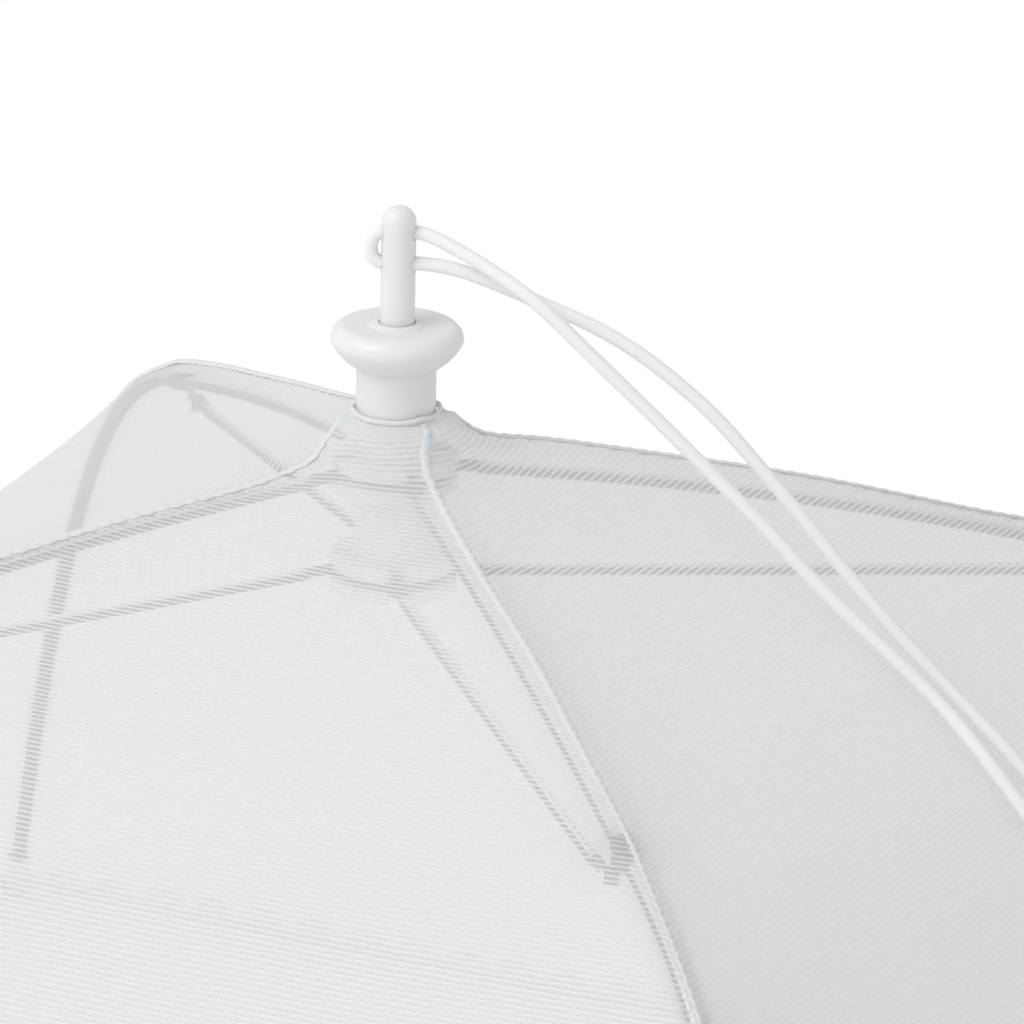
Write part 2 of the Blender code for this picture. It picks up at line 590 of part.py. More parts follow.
def net_grid(start_radius, high, low, levels, steps, middle_gap=FOLD_GAP):
    """Rows of points of a half panel between two heights of its seam, clear of the seam and the fold."""
    seam = seam_line()
    run = np.concatenate([[0], np.cumsum(np.linalg.norm(np.diff(seam, axis=0), axis=1))])
    if high is None:
        first = np.interp(start_radius, seam[:, 0], run)
    else:
        first = np.interp(-high, -seam[:, 1], run)
    last = np.interp(-low, -seam[:, 1], run)
    rows = []
    for at in np.linspace(first, last, levels):
        radius, height = np.interp(at, run, seam[:, 0]), np.interp(at, run, seam[:, 1])
        share = at / run[-1]
        seam_inset = 2 * SEAM_GAP / radius
        fold_inset = middle_gap / (radius * math.cos(QUARTER / 2))
        shares = np.linspace(seam_inset, 1 - fold_inset, steps)
        rows.append([net_point(radius, height, float(v), share) for v in shares])
    return rows


def shell(rows, thickness):
    """A thin closed sheet of even thickness round a grid of points."""
    grid = np.array([[tuple(p) for p in row] for row in rows])
    down, over = np.gradient(grid, axis=0), np.gradient(grid, axis=1)
    normal = np.cross(down, over)
    normal /= np.linalg.norm(normal, axis=2)[:, :, None]
    levels, steps = grid.shape[:2]
    verts = np.concatenate([(grid + normal * thickness / 2).reshape(-1, 3),
                            (grid - normal * thickness / 2).reshape(-1, 3)])
    half = levels * steps
    faces = []
    for row in range(levels - 1):
        for k in range(steps - 1):
            a = row * steps + k
            faces.append((a, a + 1, a + steps + 1, a + steps))
            faces.append((half + a, half + a + steps, half + a + steps + 1, half + a + 1))
    rim = list(range(steps)) + [row * steps + steps - 1 for row in range(1, levels)]
    rim += [(levels - 1) * steps + k for k in range(steps - 2, -1, -1)]
    rim += [row * steps for row in range(levels - 2, 0, -1)]
    for a, b in zip(rim, rim[1:] + rim[:1]):
        faces.append((a, half + a, half + b, b))
    return verts, faces


def mirrored(rows):
    """The same grid on the other side of the panel's fold."""
    return [[Vector((p.x, -p.y, p.z)) for p in row] for row in rows]


def build_net_halves():
    """Each side panel of the net as the two halves that fold against each other along its middle."""
    net = net_grid(CROWN_EDGE_RADIUS, None, LACE_HEIGHT, PANEL_LEVELS, PANEL_STEPS)
    lace = net_grid(None, LACE_HEIGHT - GAP, LACE_CLEARANCE, 2, PANEL_STEPS)
    fold_radius = PIVOT_RADIUS / math.cos(QUARTER / 2)
    back = (-fold_radius, 0, -PIVOT_HEIGHT)
    for corner in CORNERS:
        before, after = azimuth(corner) - QUARTER / 2, azimuth(corner) + QUARTER / 2
        for name, way, turn in (("a", 1, before), ("b", -1, after)):
            fold = axis_empty(f"fold_axis_{corner}_{name}", radial(fold_radius, PIVOT_HEIGHT, turn), turn)
            for kind, rows, finish in (("net", net, NET), ("hem_lace", lace, TAPE)):
                verts, faces = shell(rows if way > 0 else mirrored(rows), NET_THICKNESS)
                piece(f"{kind}_{corner}_{name}", verts, faces, finish, parent=fold, at=back)


def build_crown(root):
    """The net's rounded top, from the bound neck down to the side panels, and the binding round the neck."""
    seam = seam_line()
    radii = np.linspace(NECK_RADIUS + NET_THICKNESS, CROWN_EDGE_RADIUS - GAP, 4)
    rows = []
    run = np.concatenate([[0], np.cumsum(np.linalg.norm(np.diff(seam, axis=0), axis=1))])
    for radius in radii:
        height = np.interp(radius, seam[:, 0], seam[:, 1])
        share = np.interp(radius, seam[:, 0], run) / run[-1]
        rows.append((radius, height - GAP, share))
    verts, faces, per_side = [], [], CROWN_STEPS
    for side_up in (1, -1):
        for radius, height, share in rows:
            for side in range(4):
                for k in range(per_side):
                    place = 1 - 2 * k / per_side
                    point = net_point(radius, height, 1 - abs(place), share)
                    y = point.y if place > 0 else -point.y
                    turn = QUARTER * side
                    x = point.x * math.cos(-turn) - y * math.sin(-turn)
                    y = point.x * math.sin(-turn) + y * math.cos(-turn)
                    verts.append((x, y, point.z + side_up * NET_THICKNESS / 2))
    count, levels = 4 * per_side, len(rows)
    half = count * levels
    for row in range(levels - 1):
        for k in range(count):
            a, b = row * count + k, row * count + (k + 1) % count
            faces.append((a, b, b + count, a + count))
            faces.append((half + a, half + a + count, half + b + count, half + b))
    for row in (0, levels - 1):
        for k in range(count):
            a, b = row * count + k, row * count + (k + 1) % count
            faces.append((a, b, half + b, half + a))
    piece("net_crown", verts, faces, NET, parent=root)
    low, high = NECK_HEIGHT + NET_THICKNESS, NECK_HEIGHT + NET_THICKNESS + NECK_BAND_HEIGHT
    inner, outer = BARREL_RADIUS + GAP, NECK_BAND_RADIUS + NET_THICKNESS
    verts, faces = turned([(inner, low), (outer, low), (outer, high), (inner, high)])
    piece("neck_binding", verts, faces, TAPE, parent=root)


def build_bindings(hinges):
    """The sewn strip between each rib and the net's seam."""
    for corner, hinge in hinges.items():
        line = trimmed(rib_line(), EYE_REACH + EYE_LAP, CAP_LENGTH + OVERRUN)
        section = ridge(BINDING_WIDTH, BINDING_GAP, BINDING_GAP + BINDING_EDGE, BINDING_GAP + BINDING_HEIGHT)
        verts, faces = swept(evenly(line, 2 * RIB_STEPS), section)
        back = (-PIVOT_RADIUS, 0, -PIVOT_HEIGHT)
        piece("seam_binding_" + corner, verts, faces, TAPE, parent=hinge, at=back)


def smooth_line(points, step):
    """A smooth curve through hand-chosen points, read at even steps."""
    points = [Vector(p) for p in points]
    padded = [2 * points[0] - points[1], *points, 2 * points[-1] - points[-2]]
    fine = []
    for a, b, c, d in zip(padded, padded[1:], padded[2:], padded[3:]):
        for k in range(12):
            t = k / 12
            square, cube = 2 * a - 5 * b + 4 * c - d, 3 * b - a - 3 * c + d
            fine.append(0.5 * (2 * b + (c - a) * t + square * t**2 + cube * t**3))
    fine.append(points[-1])
    fine = np.array([tuple(p) for p in fine])
    length = np.linalg.norm(np.diff(fine, axis=0), axis=1).sum()
    return evenly(fine, max(2, round(length / step) + 1))


def cord_piece(name, points, step, parent, at):
    """A round cord along a smooth line."""
    line = smooth_line(points, step)
    data = bpy.data.curves.new(name, "CURVE")
    data.dimensions = "3D"
    data.bevel_depth = CORD_RADIUS
    data.bevel_resolution = 2
    data.use_fill_caps = True
    spline = data.splines.new("POLY")
    spline.points.add(len(line) - 1)
    for point, place in zip(spline.points, line):
        point.co = (*place, 1)
    data.materials.append(material(*CORD))
    made = bpy.data.objects.new(name, data)
    bpy.context.scene.collection.objects.link(made)
    made.parent = parent
    made.location = at


def build_cords(root, slide):
    """The hanging loop, from hole to hole, and the short bight on the rod's other side."""
    route = [(x * MM, y * MM, UPPER_HOLE_HEIGHT - drop * MM) for x, y, drop in CORD_ROUTE]
    cord_piece("pull_cord", route, CORD_STEP, root, (0, 0, 0))
    right, left = ROD_RADIUS - GAP, -ROD_RADIUS
    middle = (UPPER_HOLE_HEIGHT + LOWER_HOLE_HEIGHT) / 2
    rise = (UPPER_HOLE_HEIGHT - LOWER_HOLE_HEIGHT) / 2
    points = [(right, UPPER_HOLE_HEIGHT), (0, UPPER_HOLE_HEIGHT), (left, UPPER_HOLE_HEIGHT)]
    for k in range(1, 8):
        angle = math.pi / 2 - math.pi * k / 8
        points.append((left - BIGHT_REACH * math.cos(angle), middle + rise * math.sin(angle)))
    points += [(left, LOWER_HOLE_HEIGHT), (0, LOWER_HOLE_HEIGHT), (right, LOWER_HOLE_HEIGHT)]
    world = [tuple(radial(x, z, HOLE_AZIMUTH)) for x, z in points]
    cord_piece("cord_bight", world, CORD_POINT_GAP, slide, (0, 0, -RUNNER_HEIGHT))


def build():
    clear_scene()
    root = axis_empty("hub_axis", (0, 0, 0))
    build_hub(root)
    build_wire_ring("hub_tie_wire", PIVOT_RADIUS, PIVOT_HEIGHT, root, (0, 0, 0))
    slide = build_plunger()
    hinges = {corner: build_rib(corner) for corner in CORNERS}
    for corner in CORNERS:
        build_strut(corner)
    build_bindings(hinges)
    build_net_halves()
    build_crown(root)
    build_cords(root, slide)


build()
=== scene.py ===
import math

import bmesh
import bpy
import numpy as np
from mathutils import Matrix, Vector


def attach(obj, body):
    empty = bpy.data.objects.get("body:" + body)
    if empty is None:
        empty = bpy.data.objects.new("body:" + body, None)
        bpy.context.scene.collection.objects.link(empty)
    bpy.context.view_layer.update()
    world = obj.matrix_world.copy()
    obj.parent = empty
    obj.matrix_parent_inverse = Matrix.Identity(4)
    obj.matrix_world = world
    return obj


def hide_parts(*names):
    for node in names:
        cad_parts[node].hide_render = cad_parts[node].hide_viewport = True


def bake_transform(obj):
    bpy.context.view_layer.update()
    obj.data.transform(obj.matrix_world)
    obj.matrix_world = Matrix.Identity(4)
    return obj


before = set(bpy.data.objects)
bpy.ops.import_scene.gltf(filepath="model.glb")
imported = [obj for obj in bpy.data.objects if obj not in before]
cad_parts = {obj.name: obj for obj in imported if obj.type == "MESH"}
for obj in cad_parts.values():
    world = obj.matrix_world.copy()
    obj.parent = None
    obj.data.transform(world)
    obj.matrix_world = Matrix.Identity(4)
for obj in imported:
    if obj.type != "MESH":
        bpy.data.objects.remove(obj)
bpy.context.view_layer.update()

# Mesh food cover umbrella: a white net tent on four spring ribs. World frame of the part: origin on the
# table under the hub, +Z up along the rod, the tent's sides parallel to X and Y. Lengths are in metres.
MM = 0.001
CORNERS = ("front_right", "back_right", "back_left", "front_left")
QUARTER = math.pi / 2


def azimuth(corner):
    """The direction of a corner's rib, seen from above."""
    return -QUARTER / 2 + QUARTER * CORNERS.index(corner)


# Camera
# The photographer stood in front of the tent's right corner, far off with a long lens, and looked down
# at about twenty degrees. Its angles, place and lens come from fitting the ribs and the hub in the picture.
DOWN, PAN, ROLL = np.radians([19.467, 0.597, 1.189])
ORBIT = math.radians(26.7)
FOCAL_PIXELS = 12000
PICTURE_PIXELS = 1024
SENSOR = 36

look = np.array([math.sin(PAN) * math.cos(DOWN), math.cos(PAN) * math.cos(DOWN), -math.sin(DOWN)])
level = np.array([math.cos(PAN), -math.sin(PAN), 0])
over = np.cross(level, look)
right = level * math.cos(ROLL) + over * math.sin(ROLL)
up = over * math.cos(ROLL) - level * math.sin(ROLL)
orbit = np.array(Matrix.Rotation(ORBIT, 3, "Z"))
place = orbit @ np.array([0, -2.580, 1.120])
columns = [orbit @ right, orbit @ up, -(orbit @ look), place]
camera_data = bpy.data.cameras.new("camera")
camera_data.sensor_width = SENSOR
camera_data.lens = FOCAL_PIXELS / PICTURE_PIXELS * SENSOR
camera_data.clip_end = 100
camera = bpy.data.objects.new("camera", camera_data)
bpy.context.scene.collection.objects.link(camera)
camera.matrix_world = Matrix([[*(c[k] for c in columns)] for k in range(3)] + [[0, 0, 0, 1]])
bpy.context.scene.camera = camera


def colour(code):
    """A linear colour with alpha from a six-figure sRGB hex code."""
    parts = [int(code[k:k + 2], 16) / 255 for k in (0, 2, 4)]
    return (*(p / 12.92 if p <= 0.04045 else ((p + 0.055) / 1.055) ** 2.4 for p in parts), 1)


def node(tree, kind, *inputs, **settings):
    """Adds a shader node. inputs are sockets to link or values, in the order of its sockets."""
    made = tree.nodes.new("ShaderNode" + kind)
    for name, value in settings.items():
        setattr(made, name, value)
    for socket, value in zip(made.inputs, inputs):
        if isinstance(value, bpy.types.NodeSocket):
            tree.links.new(value, socket)
        elif value is not None:
            socket.default_value = value
    return made


def principled(name, code, roughness, metallic=0.0, depth=None, share=0.0):
    """A material of one Principled shader; returns it with its tree and shader. Light goes into it to a
    depth in metres, for a share of what it scatters."""
    made = bpy.data.materials.new(name)
    made.use_nodes = True
    shader = made.node_tree.nodes["Principled BSDF"]
    shader.inputs["Base Color"].default_value = colour(code)
    shader.inputs["Roughness"].default_value = roughness
    shader.inputs["Metallic"].default_value = metallic
    if depth:
        shader.inputs["Subsurface Weight"].default_value = share
        shader.inputs["Subsurface Scale"].default_value = depth
    return made, made.node_tree, shader


def bump(tree, shader, height, strength, distance):
    """Puts a height pattern on a shader as bump. distance is in metres."""
    made = node(tree, "Bump", strength, distance)
    tree.links.new(height, made.inputs["Height"])
    tree.links.new(made.outputs["Normal"], shader.inputs["Normal"])


def build(name, verts, faces, *finishes, slots=None, smooth=True, angle=35):
    """A mesh object at the origin from points in metres, smooth but for edges over an angle."""
    mesh = bpy.data.meshes.new(name)
    mesh.from_pydata(np.asarray(verts, float).tolist(), [], [tuple(f) for f in faces])
    mesh.validate()
    for finish in finishes:
        mesh.materials.append(finish)
    if slots is not None:
        mesh.polygons.foreach_set("material_index", np.asarray(slots, dtype=np.int32))
    shape = bmesh.new()
    shape.from_mesh(mesh)
    bmesh.ops.recalc_face_normals(shape, faces=shape.faces)
    shape.to_mesh(mesh)
    shape.free()
    if smooth:
        mesh.shade_smooth()
        mesh.set_sharp_from_angle(angle=math.radians(angle))
    made = bpy.data.objects.new(name, mesh)
    bpy.context.scene.collection.objects.link(made)
    return made


def settle(made, body, slot, *nodes):
    """Lets a piece ride on a body and stand for CAD nodes. Its slot is not used."""
    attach(made, body)
    if nodes:
        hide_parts(*nodes)
    return made


def tube(path, radii, sides, squash=1.0):
    """Points and faces of a closed round tube: P(s, a) = path(s) + r(s) (cos a N + squash sin a B)."""
    path = np.asarray(path, float)
    radii = np.broadcast_to(radii, len(path))
    along = np.gradient(path, axis=0)
    along /= np.linalg.norm(along, axis=1)[:, None]
    normal = np.cross(along[0], (0, 0, 1) if abs(along[0][2]) < 0.9 else (1, 0, 0))
    frames = []
    for tangent in along:
        normal = normal - tangent * (normal @ tangent)
        normal /= np.linalg.norm(normal)
        frames.append((normal, np.cross(tangent, normal)))
    frames = np.array(frames)
    angles = np.arange(sides) * 2 * math.pi / sides
    ring = np.cos(angles)[:, None] * frames[:, 0][:, None]
    ring = ring + squash * np.sin(angles)[:, None] * frames[:, 1][:, None]
    verts = (path[:, None] + ring * radii[:, None, None]).reshape(-1, 3)
    faces = ring_faces(len(path), sides)
    faces += [tuple(range(sides)), tuple(range((len(path) - 1) * sides, len(path) * sides))]
    return verts, faces


def ring_faces(rows, sides, closed=False):
    """Faces that join rows of points, each a ring of so many sides."""
    faces = []
    for row in range(rows if closed else rows - 1):
        after = (row + 1) % rows * sides
        for k in range(sides):
            one = (k + 1) % sides
            faces.append((row * sides + k, row * sides + one, after + one, after + k))
    return faces


def length_along(line):
    """The running length of a line of points."""
    return np.concatenate([[0], np.cumsum(np.linalg.norm(np.diff(line, axis=0), axis=1))])


def points_at(line, at):
    """The points of a line at some running lengths."""
    run = length_along(line)
    return np.stack([np.interp(at, run, values) for values in line.T], axis=1)


def spline(points, step):
    """A Catmull-Rom curve through points, read at even steps: 0.5 (2b + (c-a)t + ...)."""
    points = np.asarray(points, float)
    padded = np.concatenate([[2 * points[0] - points[1]], points, [2 * points[-1] - points[-2]]])
    t = np.linspace(0, 1, 24, endpoint=False)[:, None]
    fine = []
    for a, b, c, d in zip(padded, padded[1:], padded[2:], padded[3:]):
        bend, twist = 2 * a - 5 * b + 4 * c - d, 3 * b - a - 3 * c + d
        fine.append(0.5 * (2 * b + (c - a) * t + bend * t**2 + twist * t**3))
    fine = np.concatenate(fine + [points[-1:]])
    length = length_along(fine)[-1]
    return points_at(fine, np.linspace(0, length, max(2, round(length / step) + 1)))


# Pull cord
# One white braided cord, 3.2 mm thick, threaded through the rod's two holes. Its long loop lies over the
# right-hand side of the tent; the short bight shows on the rod's left. Both run on inside the rod.
CORD_RADIUS = 1.6 * MM
UPPER_HOLE = 274.6 * MM
LOWER_HOLE = 267.4 * MM
HOLE_AZIMUTH = math.radians(22)
BIGHT_REACH = 2.4 * MM
ROD_RADIUS = 3.95 * MM
# Its route outside the rod: x, y and the drop below the upper hole, in millimetres
CORD_ROUTE = (
    (5.0, 2.0, 0.0), (12.0, 2.4, 2.0), (22.0, 2.8, 6.2), (34.0, 3.2, 12.6), (47.0, 4.6, 23.1),
    (61.0, 7.0, 35.1), (74.0, 9.0, 46.4), (88.0, 11.0, 58.7), (102.0, 13.2, 72.0), (116.0, 15.4, 83.8),
    (130.0, 17.2, 95.6), (144.5, 14.9, 107.5), (157.4, 14.2, 121.4), (169.8, 14.6, 139.5),
    (180.1, 14.2, 158.6), (188.1, 13.6, 176.1), (195.6, 12.6, 194.6), (199.8, 15.4, 205.9),
    (201.3, 21.0, 210.1), (200.2, 27.0, 207.0), (196.5, 30.4, 196.9), (189.1, 30.8, 178.4),
    (180.7, 29.8, 159.8), (170.8, 27.6, 141.1), (158.9, 25.6, 123.2), (145.9, 24.2, 108.7),
    (131.0, 25.0, 96.8), (117.0, 23.8, 84.2), (105.0, 22.0, 71.6), (94.0, 20.6, 59.6),
    (83.0, 19.0, 48.0), (73.0, 17.6, 38.0), (63.0, 16.0, 30.0), (53.0, 14.4, 23.6), (43.0, 12.6, 18.8),
    (32.0, 10.0, 14.8), (22.0, 7.2, 11.0), (13.0, 4.6, 8.2), (5.0, 2.0, 7.2),
)
# The strands inside the rod: side, distance out and height from their hole, in millimetres
INNER_ROUTE = ((1.65, 0, -12), (1.65, 0, -8), (1.65, 0, -4.5), (1.3, 0.5, -2.2), (0.5, 1.9, -0.5))

# The fine braid only softens the cord's highlight
cord_material, tree, shader = principled("braided cotton cord", "F6F6F6", 0.6, depth=0.001, share=0.2)
place = node(tree, "UVMap", uv_map="run").outputs["UV"]
braid = node(tree, "TexWave", place, 0.9, 0.0, wave_type="BANDS", bands_direction="DIAGONAL")
bump(tree, shader, braid.outputs["Fac"], 0.1, 0.0001)


def give_shares(shares):
    """Takes each point's share of a bend, 0 for the first body and 1 for the second, as a flat list; nothing
    is set from it.
    """
    shares = np.asarray(shares, np.float32).ravel()


def from_rod(side, out, height):
    """A point beside the rod's axis, sideways from and along the holes' direction."""
    x = out * math.cos(HOLE_AZIMUTH) - side * math.sin(HOLE_AZIMUTH)
    y = out * math.sin(HOLE_AZIMUTH) + side * math.cos(HOLE_AZIMUTH)
    return x, y, height


def give_map(made, name, values):
    """Sets a UV map from two values for each point."""
    index = np.empty(len(made.data.loops), dtype=np.int32)
    made.data.loops.foreach_get("vertex_index", index)
    layer = made.data.uv_layers.new(name=name)
    layer.data.foreach_set("uv", values[index].astype(np.float32).ravel())


def run_uv(made, path, sides):
    """Gives a tube a UV map in millimetres: along its path, and round it over its 10 mm."""
    run = np.repeat(length_along(path) / MM, sides)
    around = np.tile(np.arange(sides) * 10 / sides, len(path))
    give_map(made, "run", np.stack([run, around], axis=1))


upper = [from_rod(s * MM, o * MM, UPPER_HOLE + h * MM) for s, o, h in INNER_ROUTE]
lower = [from_rod(-s * MM, o * MM, LOWER_HOLE + h * MM) for s, o, h in INNER_ROUTE]
outside = [(x * MM, y * MM, UPPER_HOLE - drop * MM) for x, y, drop in CORD_ROUTE]
route = spline(upper + outside + lower[::-1], 0.9 * MM)
CORD_SIDES = 20
verts, faces = tube(route, CORD_RADIUS, CORD_SIDES)
cord = build("pull_cord_loop", verts, faces, cord_material)
run_uv(cord, route, CORD_SIDES)

middle, rise = (UPPER_HOLE + LOWER_HOLE) / 2, (UPPER_HOLE - LOWER_HOLE) / 2
points = [from_rod(0, out, UPPER_HOLE) for out in (ROD_RADIUS - 0.3 * MM, 0, -ROD_RADIUS)]
for k in range(1, 12):
    angle = math.pi / 2 - math.pi * k / 12
    points.append(from_rod(0, -ROD_RADIUS - BIGHT_REACH * math.cos(angle), middle + rise * math.sin(angle)))
points += [from_rod(0, out, LOWER_HOLE) for out in (-ROD_RADIUS, 0, ROD_RADIUS - 0.3 * MM)]
bight_path = spline(points, 0.4 * MM)
verts, faces = tube(bight_path, CORD_RADIUS, CORD_SIDES)
bight = build("cord_bight_on_rod", verts, faces, cord_material)
run_uv(bight, bight_path, CORD_SIDES)
settle(bight, "plunger", "cord", "cord_bight")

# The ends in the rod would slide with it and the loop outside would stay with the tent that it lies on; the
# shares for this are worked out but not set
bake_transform(cord)
run = length_along(route)
from_end = np.minimum(run, run[-1] - run) / MM
share = np.clip((7.5 - from_end) / 6.0, 0, 1)
give_shares(np.repeat(share, CORD_SIDES))
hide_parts("pull_cord")


def turned(profile, segments=96):
    """Points and faces of a body of revolution from a closed (radius, height) profile in metres."""
    profile = np.asarray(profile, float)
    angles = np.arange(segments) * 2 * math.pi / segments
    verts = np.stack([
        profile[:, 0][:, None] * np.cos(angles), profile[:, 0][:, None] * np.sin(angles),
        profile[:, 1][:, None] + 0 * angles], axis=2).reshape(-1, 3)
    return verts, ring_faces(len(profile), segments, closed=True)


def rounded(corners, radius, steps=4):
    """A closed outline with its corners rounded by a radius: arcs of a quadratic curve at each corner."""
    corners = np.asarray(corners, float)
    out = []
    for before, here, after in zip(np.roll(corners, 1, axis=0), corners, np.roll(corners, -1, axis=0)):
        first, last = before - here, after - here
        reach = min(radius, np.linalg.norm(first) / 2.2, np.linalg.norm(last) / 2.2)
        first = here + first / np.linalg.norm(first) * reach
        last = here + last / np.linalg.norm(last) * reach
        t = np.linspace(0, 1, steps + 1)[:, None]
        out.append(first * (1 - t) ** 2 + here * 2 * t * (1 - t) + last * t**2)
    return np.concatenate(out)


def carve(made, cutters, bevel=0.0):
    """Cuts bodies out of a piece with the exact solver, then rounds the edges that are left."""
    for verts, faces, turn in cutters:
        cutter = build("cutter", verts, faces, smooth=False)
        cutter.rotation_euler = (0, 0, turn)
        cut = made.modifiers.new("cut", "BOOLEAN")
        cut.operation, cut.solver, cut.object = "DIFFERENCE", "EXACT", cutter
    if bevel:
        edge = made.modifiers.new("edge", "BEVEL")
        edge.width, edge.segments, edge.limit_method = bevel, 2, "ANGLE"
        edge.angle_limit, edge.use_clamp_overlap = math.radians(50), True
    bpy.context.view_layer.update()
    made.data = bpy.data.meshes.new_from_object(made.evaluated_get(bpy.context.evaluated_depsgraph_get()))
    used = [m.object for m in made.modifiers if m.type == "BOOLEAN"]
    made.modifiers.clear()
    for cutter in used:
        bpy.data.objects.remove(cutter, do_unlink=True)
    made.data.shade_smooth()
    made.data.set_sharp_from_angle(angle=math.radians(40))


def block(low, high):
    """A box between two corners."""
    verts = [(x, y, z) for z in (low[2], high[2]) for y in (low[1], high[1]) for x in (low[0], high[0])]
    return verts, [(0, 1, 3, 2), (4, 5, 7, 6), (0, 1, 5, 4), (2, 3, 7, 6), (0, 2, 6, 4), (1, 3, 7, 5)]


def pin(centre, axis, radius, length, segments=40):
    """A cylinder through a centre along an axis."""
    axis = np.asarray(axis, float) / np.linalg.norm(axis)
    path = np.asarray(centre, float) + axis * np.array([[-length / 2], [length / 2]])
    return tube(path, radius, segments)


# Hub
# One injection moulding of white plastic: a barrel, a lens-shaped flange with a low collar round the rod,
# and a grooved disc inside the tent with four slots that the ribs' eyes turn in.
PIVOT_RADIUS = 12.0 * MM
PIVOT_HEIGHT = 218.0 * MM
BORE = 3.97 * MM
BARREL_RADIUS = 9.1 * MM
BARREL_TOP = 243.0 * MM
FLANGE_RADIUS = 15.2 * MM
FLANGE_HEIGHT = 249.3 * MM
FLANGE_TOP = 252.8 * MM
FULLNESS = 1.47
DISC_RADIUS = 14.5 * MM
DISC_HALF = 4.0 * MM
GROOVE_RADIUS = 10.9 * MM
GROOVE_HALF = 1.2 * MM
SLOT_FLOOR = 9.4 * MM
DISC_EDGE = 0.35 * MM

# Smooth moulded plastic with a soft sheen; a very fine unevenness keeps its highlights from being perfect
plastic, tree, shader = principled("white moulded plastic", "ECECEB", 0.34, depth=0.003, share=0.35)
place = node(tree, "TexCoord").outputs["Object"]
grain = node(tree, "TexNoise", place, None, 220.0, 3.0)
bump(tree, shader, grain.outputs["Fac"], 0.08, 0.0004)
shader.inputs["Subsurface Radius"].default_value = (1.0, 0.95, 0.9)


def grooved_rim(height):
    """The (radius, height) corners of a disc's rim with a groove for the tie wire, from its lower edge up."""
    return [(DISC_RADIUS, height - DISC_HALF), (DISC_RADIUS, height - GROOVE_HALF),
            (GROOVE_RADIUS, height - GROOVE_HALF), (GROOVE_RADIUS, height + GROOVE_HALF),
            (DISC_RADIUS, height + GROOVE_HALF), (DISC_RADIUS, height + DISC_HALF)]


low, high = PIVOT_HEIGHT - DISC_HALF, PIVOT_HEIGHT + DISC_HALF
disc = rounded([(BORE, low), *grooved_rim(PIVOT_HEIGHT), (BARREL_RADIUS, high)], DISC_EDGE)[:-2]
under = [(BARREL_RADIUS, BARREL_TOP - 0.5 * MM)]
for k in range(1, 17):
    angle = QUARTER * k / 16
    under.append((BARREL_RADIUS + (FLANGE_RADIUS - BARREL_RADIUS) * math.sin(angle) ** FULLNESS,
                  FLANGE_HEIGHT - (FLANGE_HEIGHT - BARREL_TOP) * math.cos(angle) ** FULLNESS))
crown = FLANGE_RADIUS * 0.78
dish = []
for k in range(1, 13):
    angle = QUARTER * k / 12
    dish.append((crown + (FLANGE_RADIUS - crown) * math.cos(angle),
                 FLANGE_HEIGHT + (FLANGE_TOP - FLANGE_HEIGHT) * math.sin(angle)))
# From a shallow dip in the flange's top the collar rises to the rod's bore
collar = rounded([(11.0 * MM, FLANGE_TOP), (8.6 * MM, FLANGE_TOP - 0.3 * MM),
                  (6.4 * MM, FLANGE_TOP - 0.25 * MM), (5.5 * MM, FLANGE_TOP + 0.55 * MM),
                  (BORE, FLANGE_TOP + 0.6 * MM)], 1.0 * MM, 5)[6:-2]
profile = np.concatenate([disc, under, dish, collar])
verts, faces = turned(profile, 128)
hub = build("moulded_hub", verts, faces, plastic)
width = 1.95 * MM
slots = []
for corner in CORNERS:
    cut = block((SLOT_FLOOR, -width, low - 2 * MM), (DISC_RADIUS + 2 * MM, width, high + 0.3 * MM))
    slots.append((*cut, azimuth(corner)))
carve(hub, slots)
settle(hub, "hub", "white_plastic", "hub")

# Pull rod
# A moulded rod of the same plastic with a domed tip, bored across twice for the cord. It slides through
# the hub and ends in the runner's socket.
ROD_TIP = 281.0 * MM
RUNNER_HEIGHT = 194.0 * MM
# A turned profile stops this far from the axis, so that its pole stays a ring of sound faces
POLE = 0.02 * MM
foot = RUNNER_HEIGHT - DISC_HALF + 2.3 * MM
profile = [(POLE, foot), (ROD_RADIUS - 0.3 * MM, foot), (ROD_RADIUS, foot + 0.3 * MM)]
for k in range(17):
    angle = QUARTER * k / 16
    profile.append((max(ROD_RADIUS * math.cos(angle), POLE),
                    ROD_TIP - ROD_RADIUS * (1 - math.sin(angle))))
verts, faces = turned(profile, 96)
rod = build("rod", verts, faces, plastic)
across = (math.cos(HOLE_AZIMUTH), math.sin(HOLE_AZIMUTH), 0)
carve(rod, [(*pin((0, 0, h), across, 1.95 * MM, 14 * MM), 0) for h in (UPPER_HOLE, LOWER_HOLE)], 0.25 * MM)
settle(rod, "plunger", "white_plastic", "pull_rod")

# Runner
# The rod's foot: a second grooved disc with four slots for the struts' eyes and a neck that stops under the
# hub, moulded in one. It slides with the rod.
STRUT_SIDE = 3.6 * MM
low, high = RUNNER_HEIGHT - DISC_HALF, RUNNER_HEIGHT + DISC_HALF
neck_top = PIVOT_HEIGHT - DISC_HALF - 0.3 * MM
socket = ROD_RADIUS + 0.3 * MM
neck = 9.0 * MM
base = low + 2 * MM
profile = rounded([(POLE, low), *grooved_rim(RUNNER_HEIGHT), (neck, high), (neck, neck_top),
                   (socket, neck_top), (socket, base), (POLE, base)], DISC_EDGE)
verts, faces = turned(profile, 128)
runner = build("moulded_runner", verts, faces, plastic)
width = 1.65 * MM
slots = []
for corner in CORNERS:
    cut = block((SLOT_FLOOR, -STRUT_SIDE - width, low - 2 * MM),
                (DISC_RADIUS + 2 * MM, -STRUT_SIDE + width, high + 0.3 * MM))
    slots.append((*cut, azimuth(corner)))
carve(runner, slots)
settle(runner, "plunger", "white_plastic", "runner")


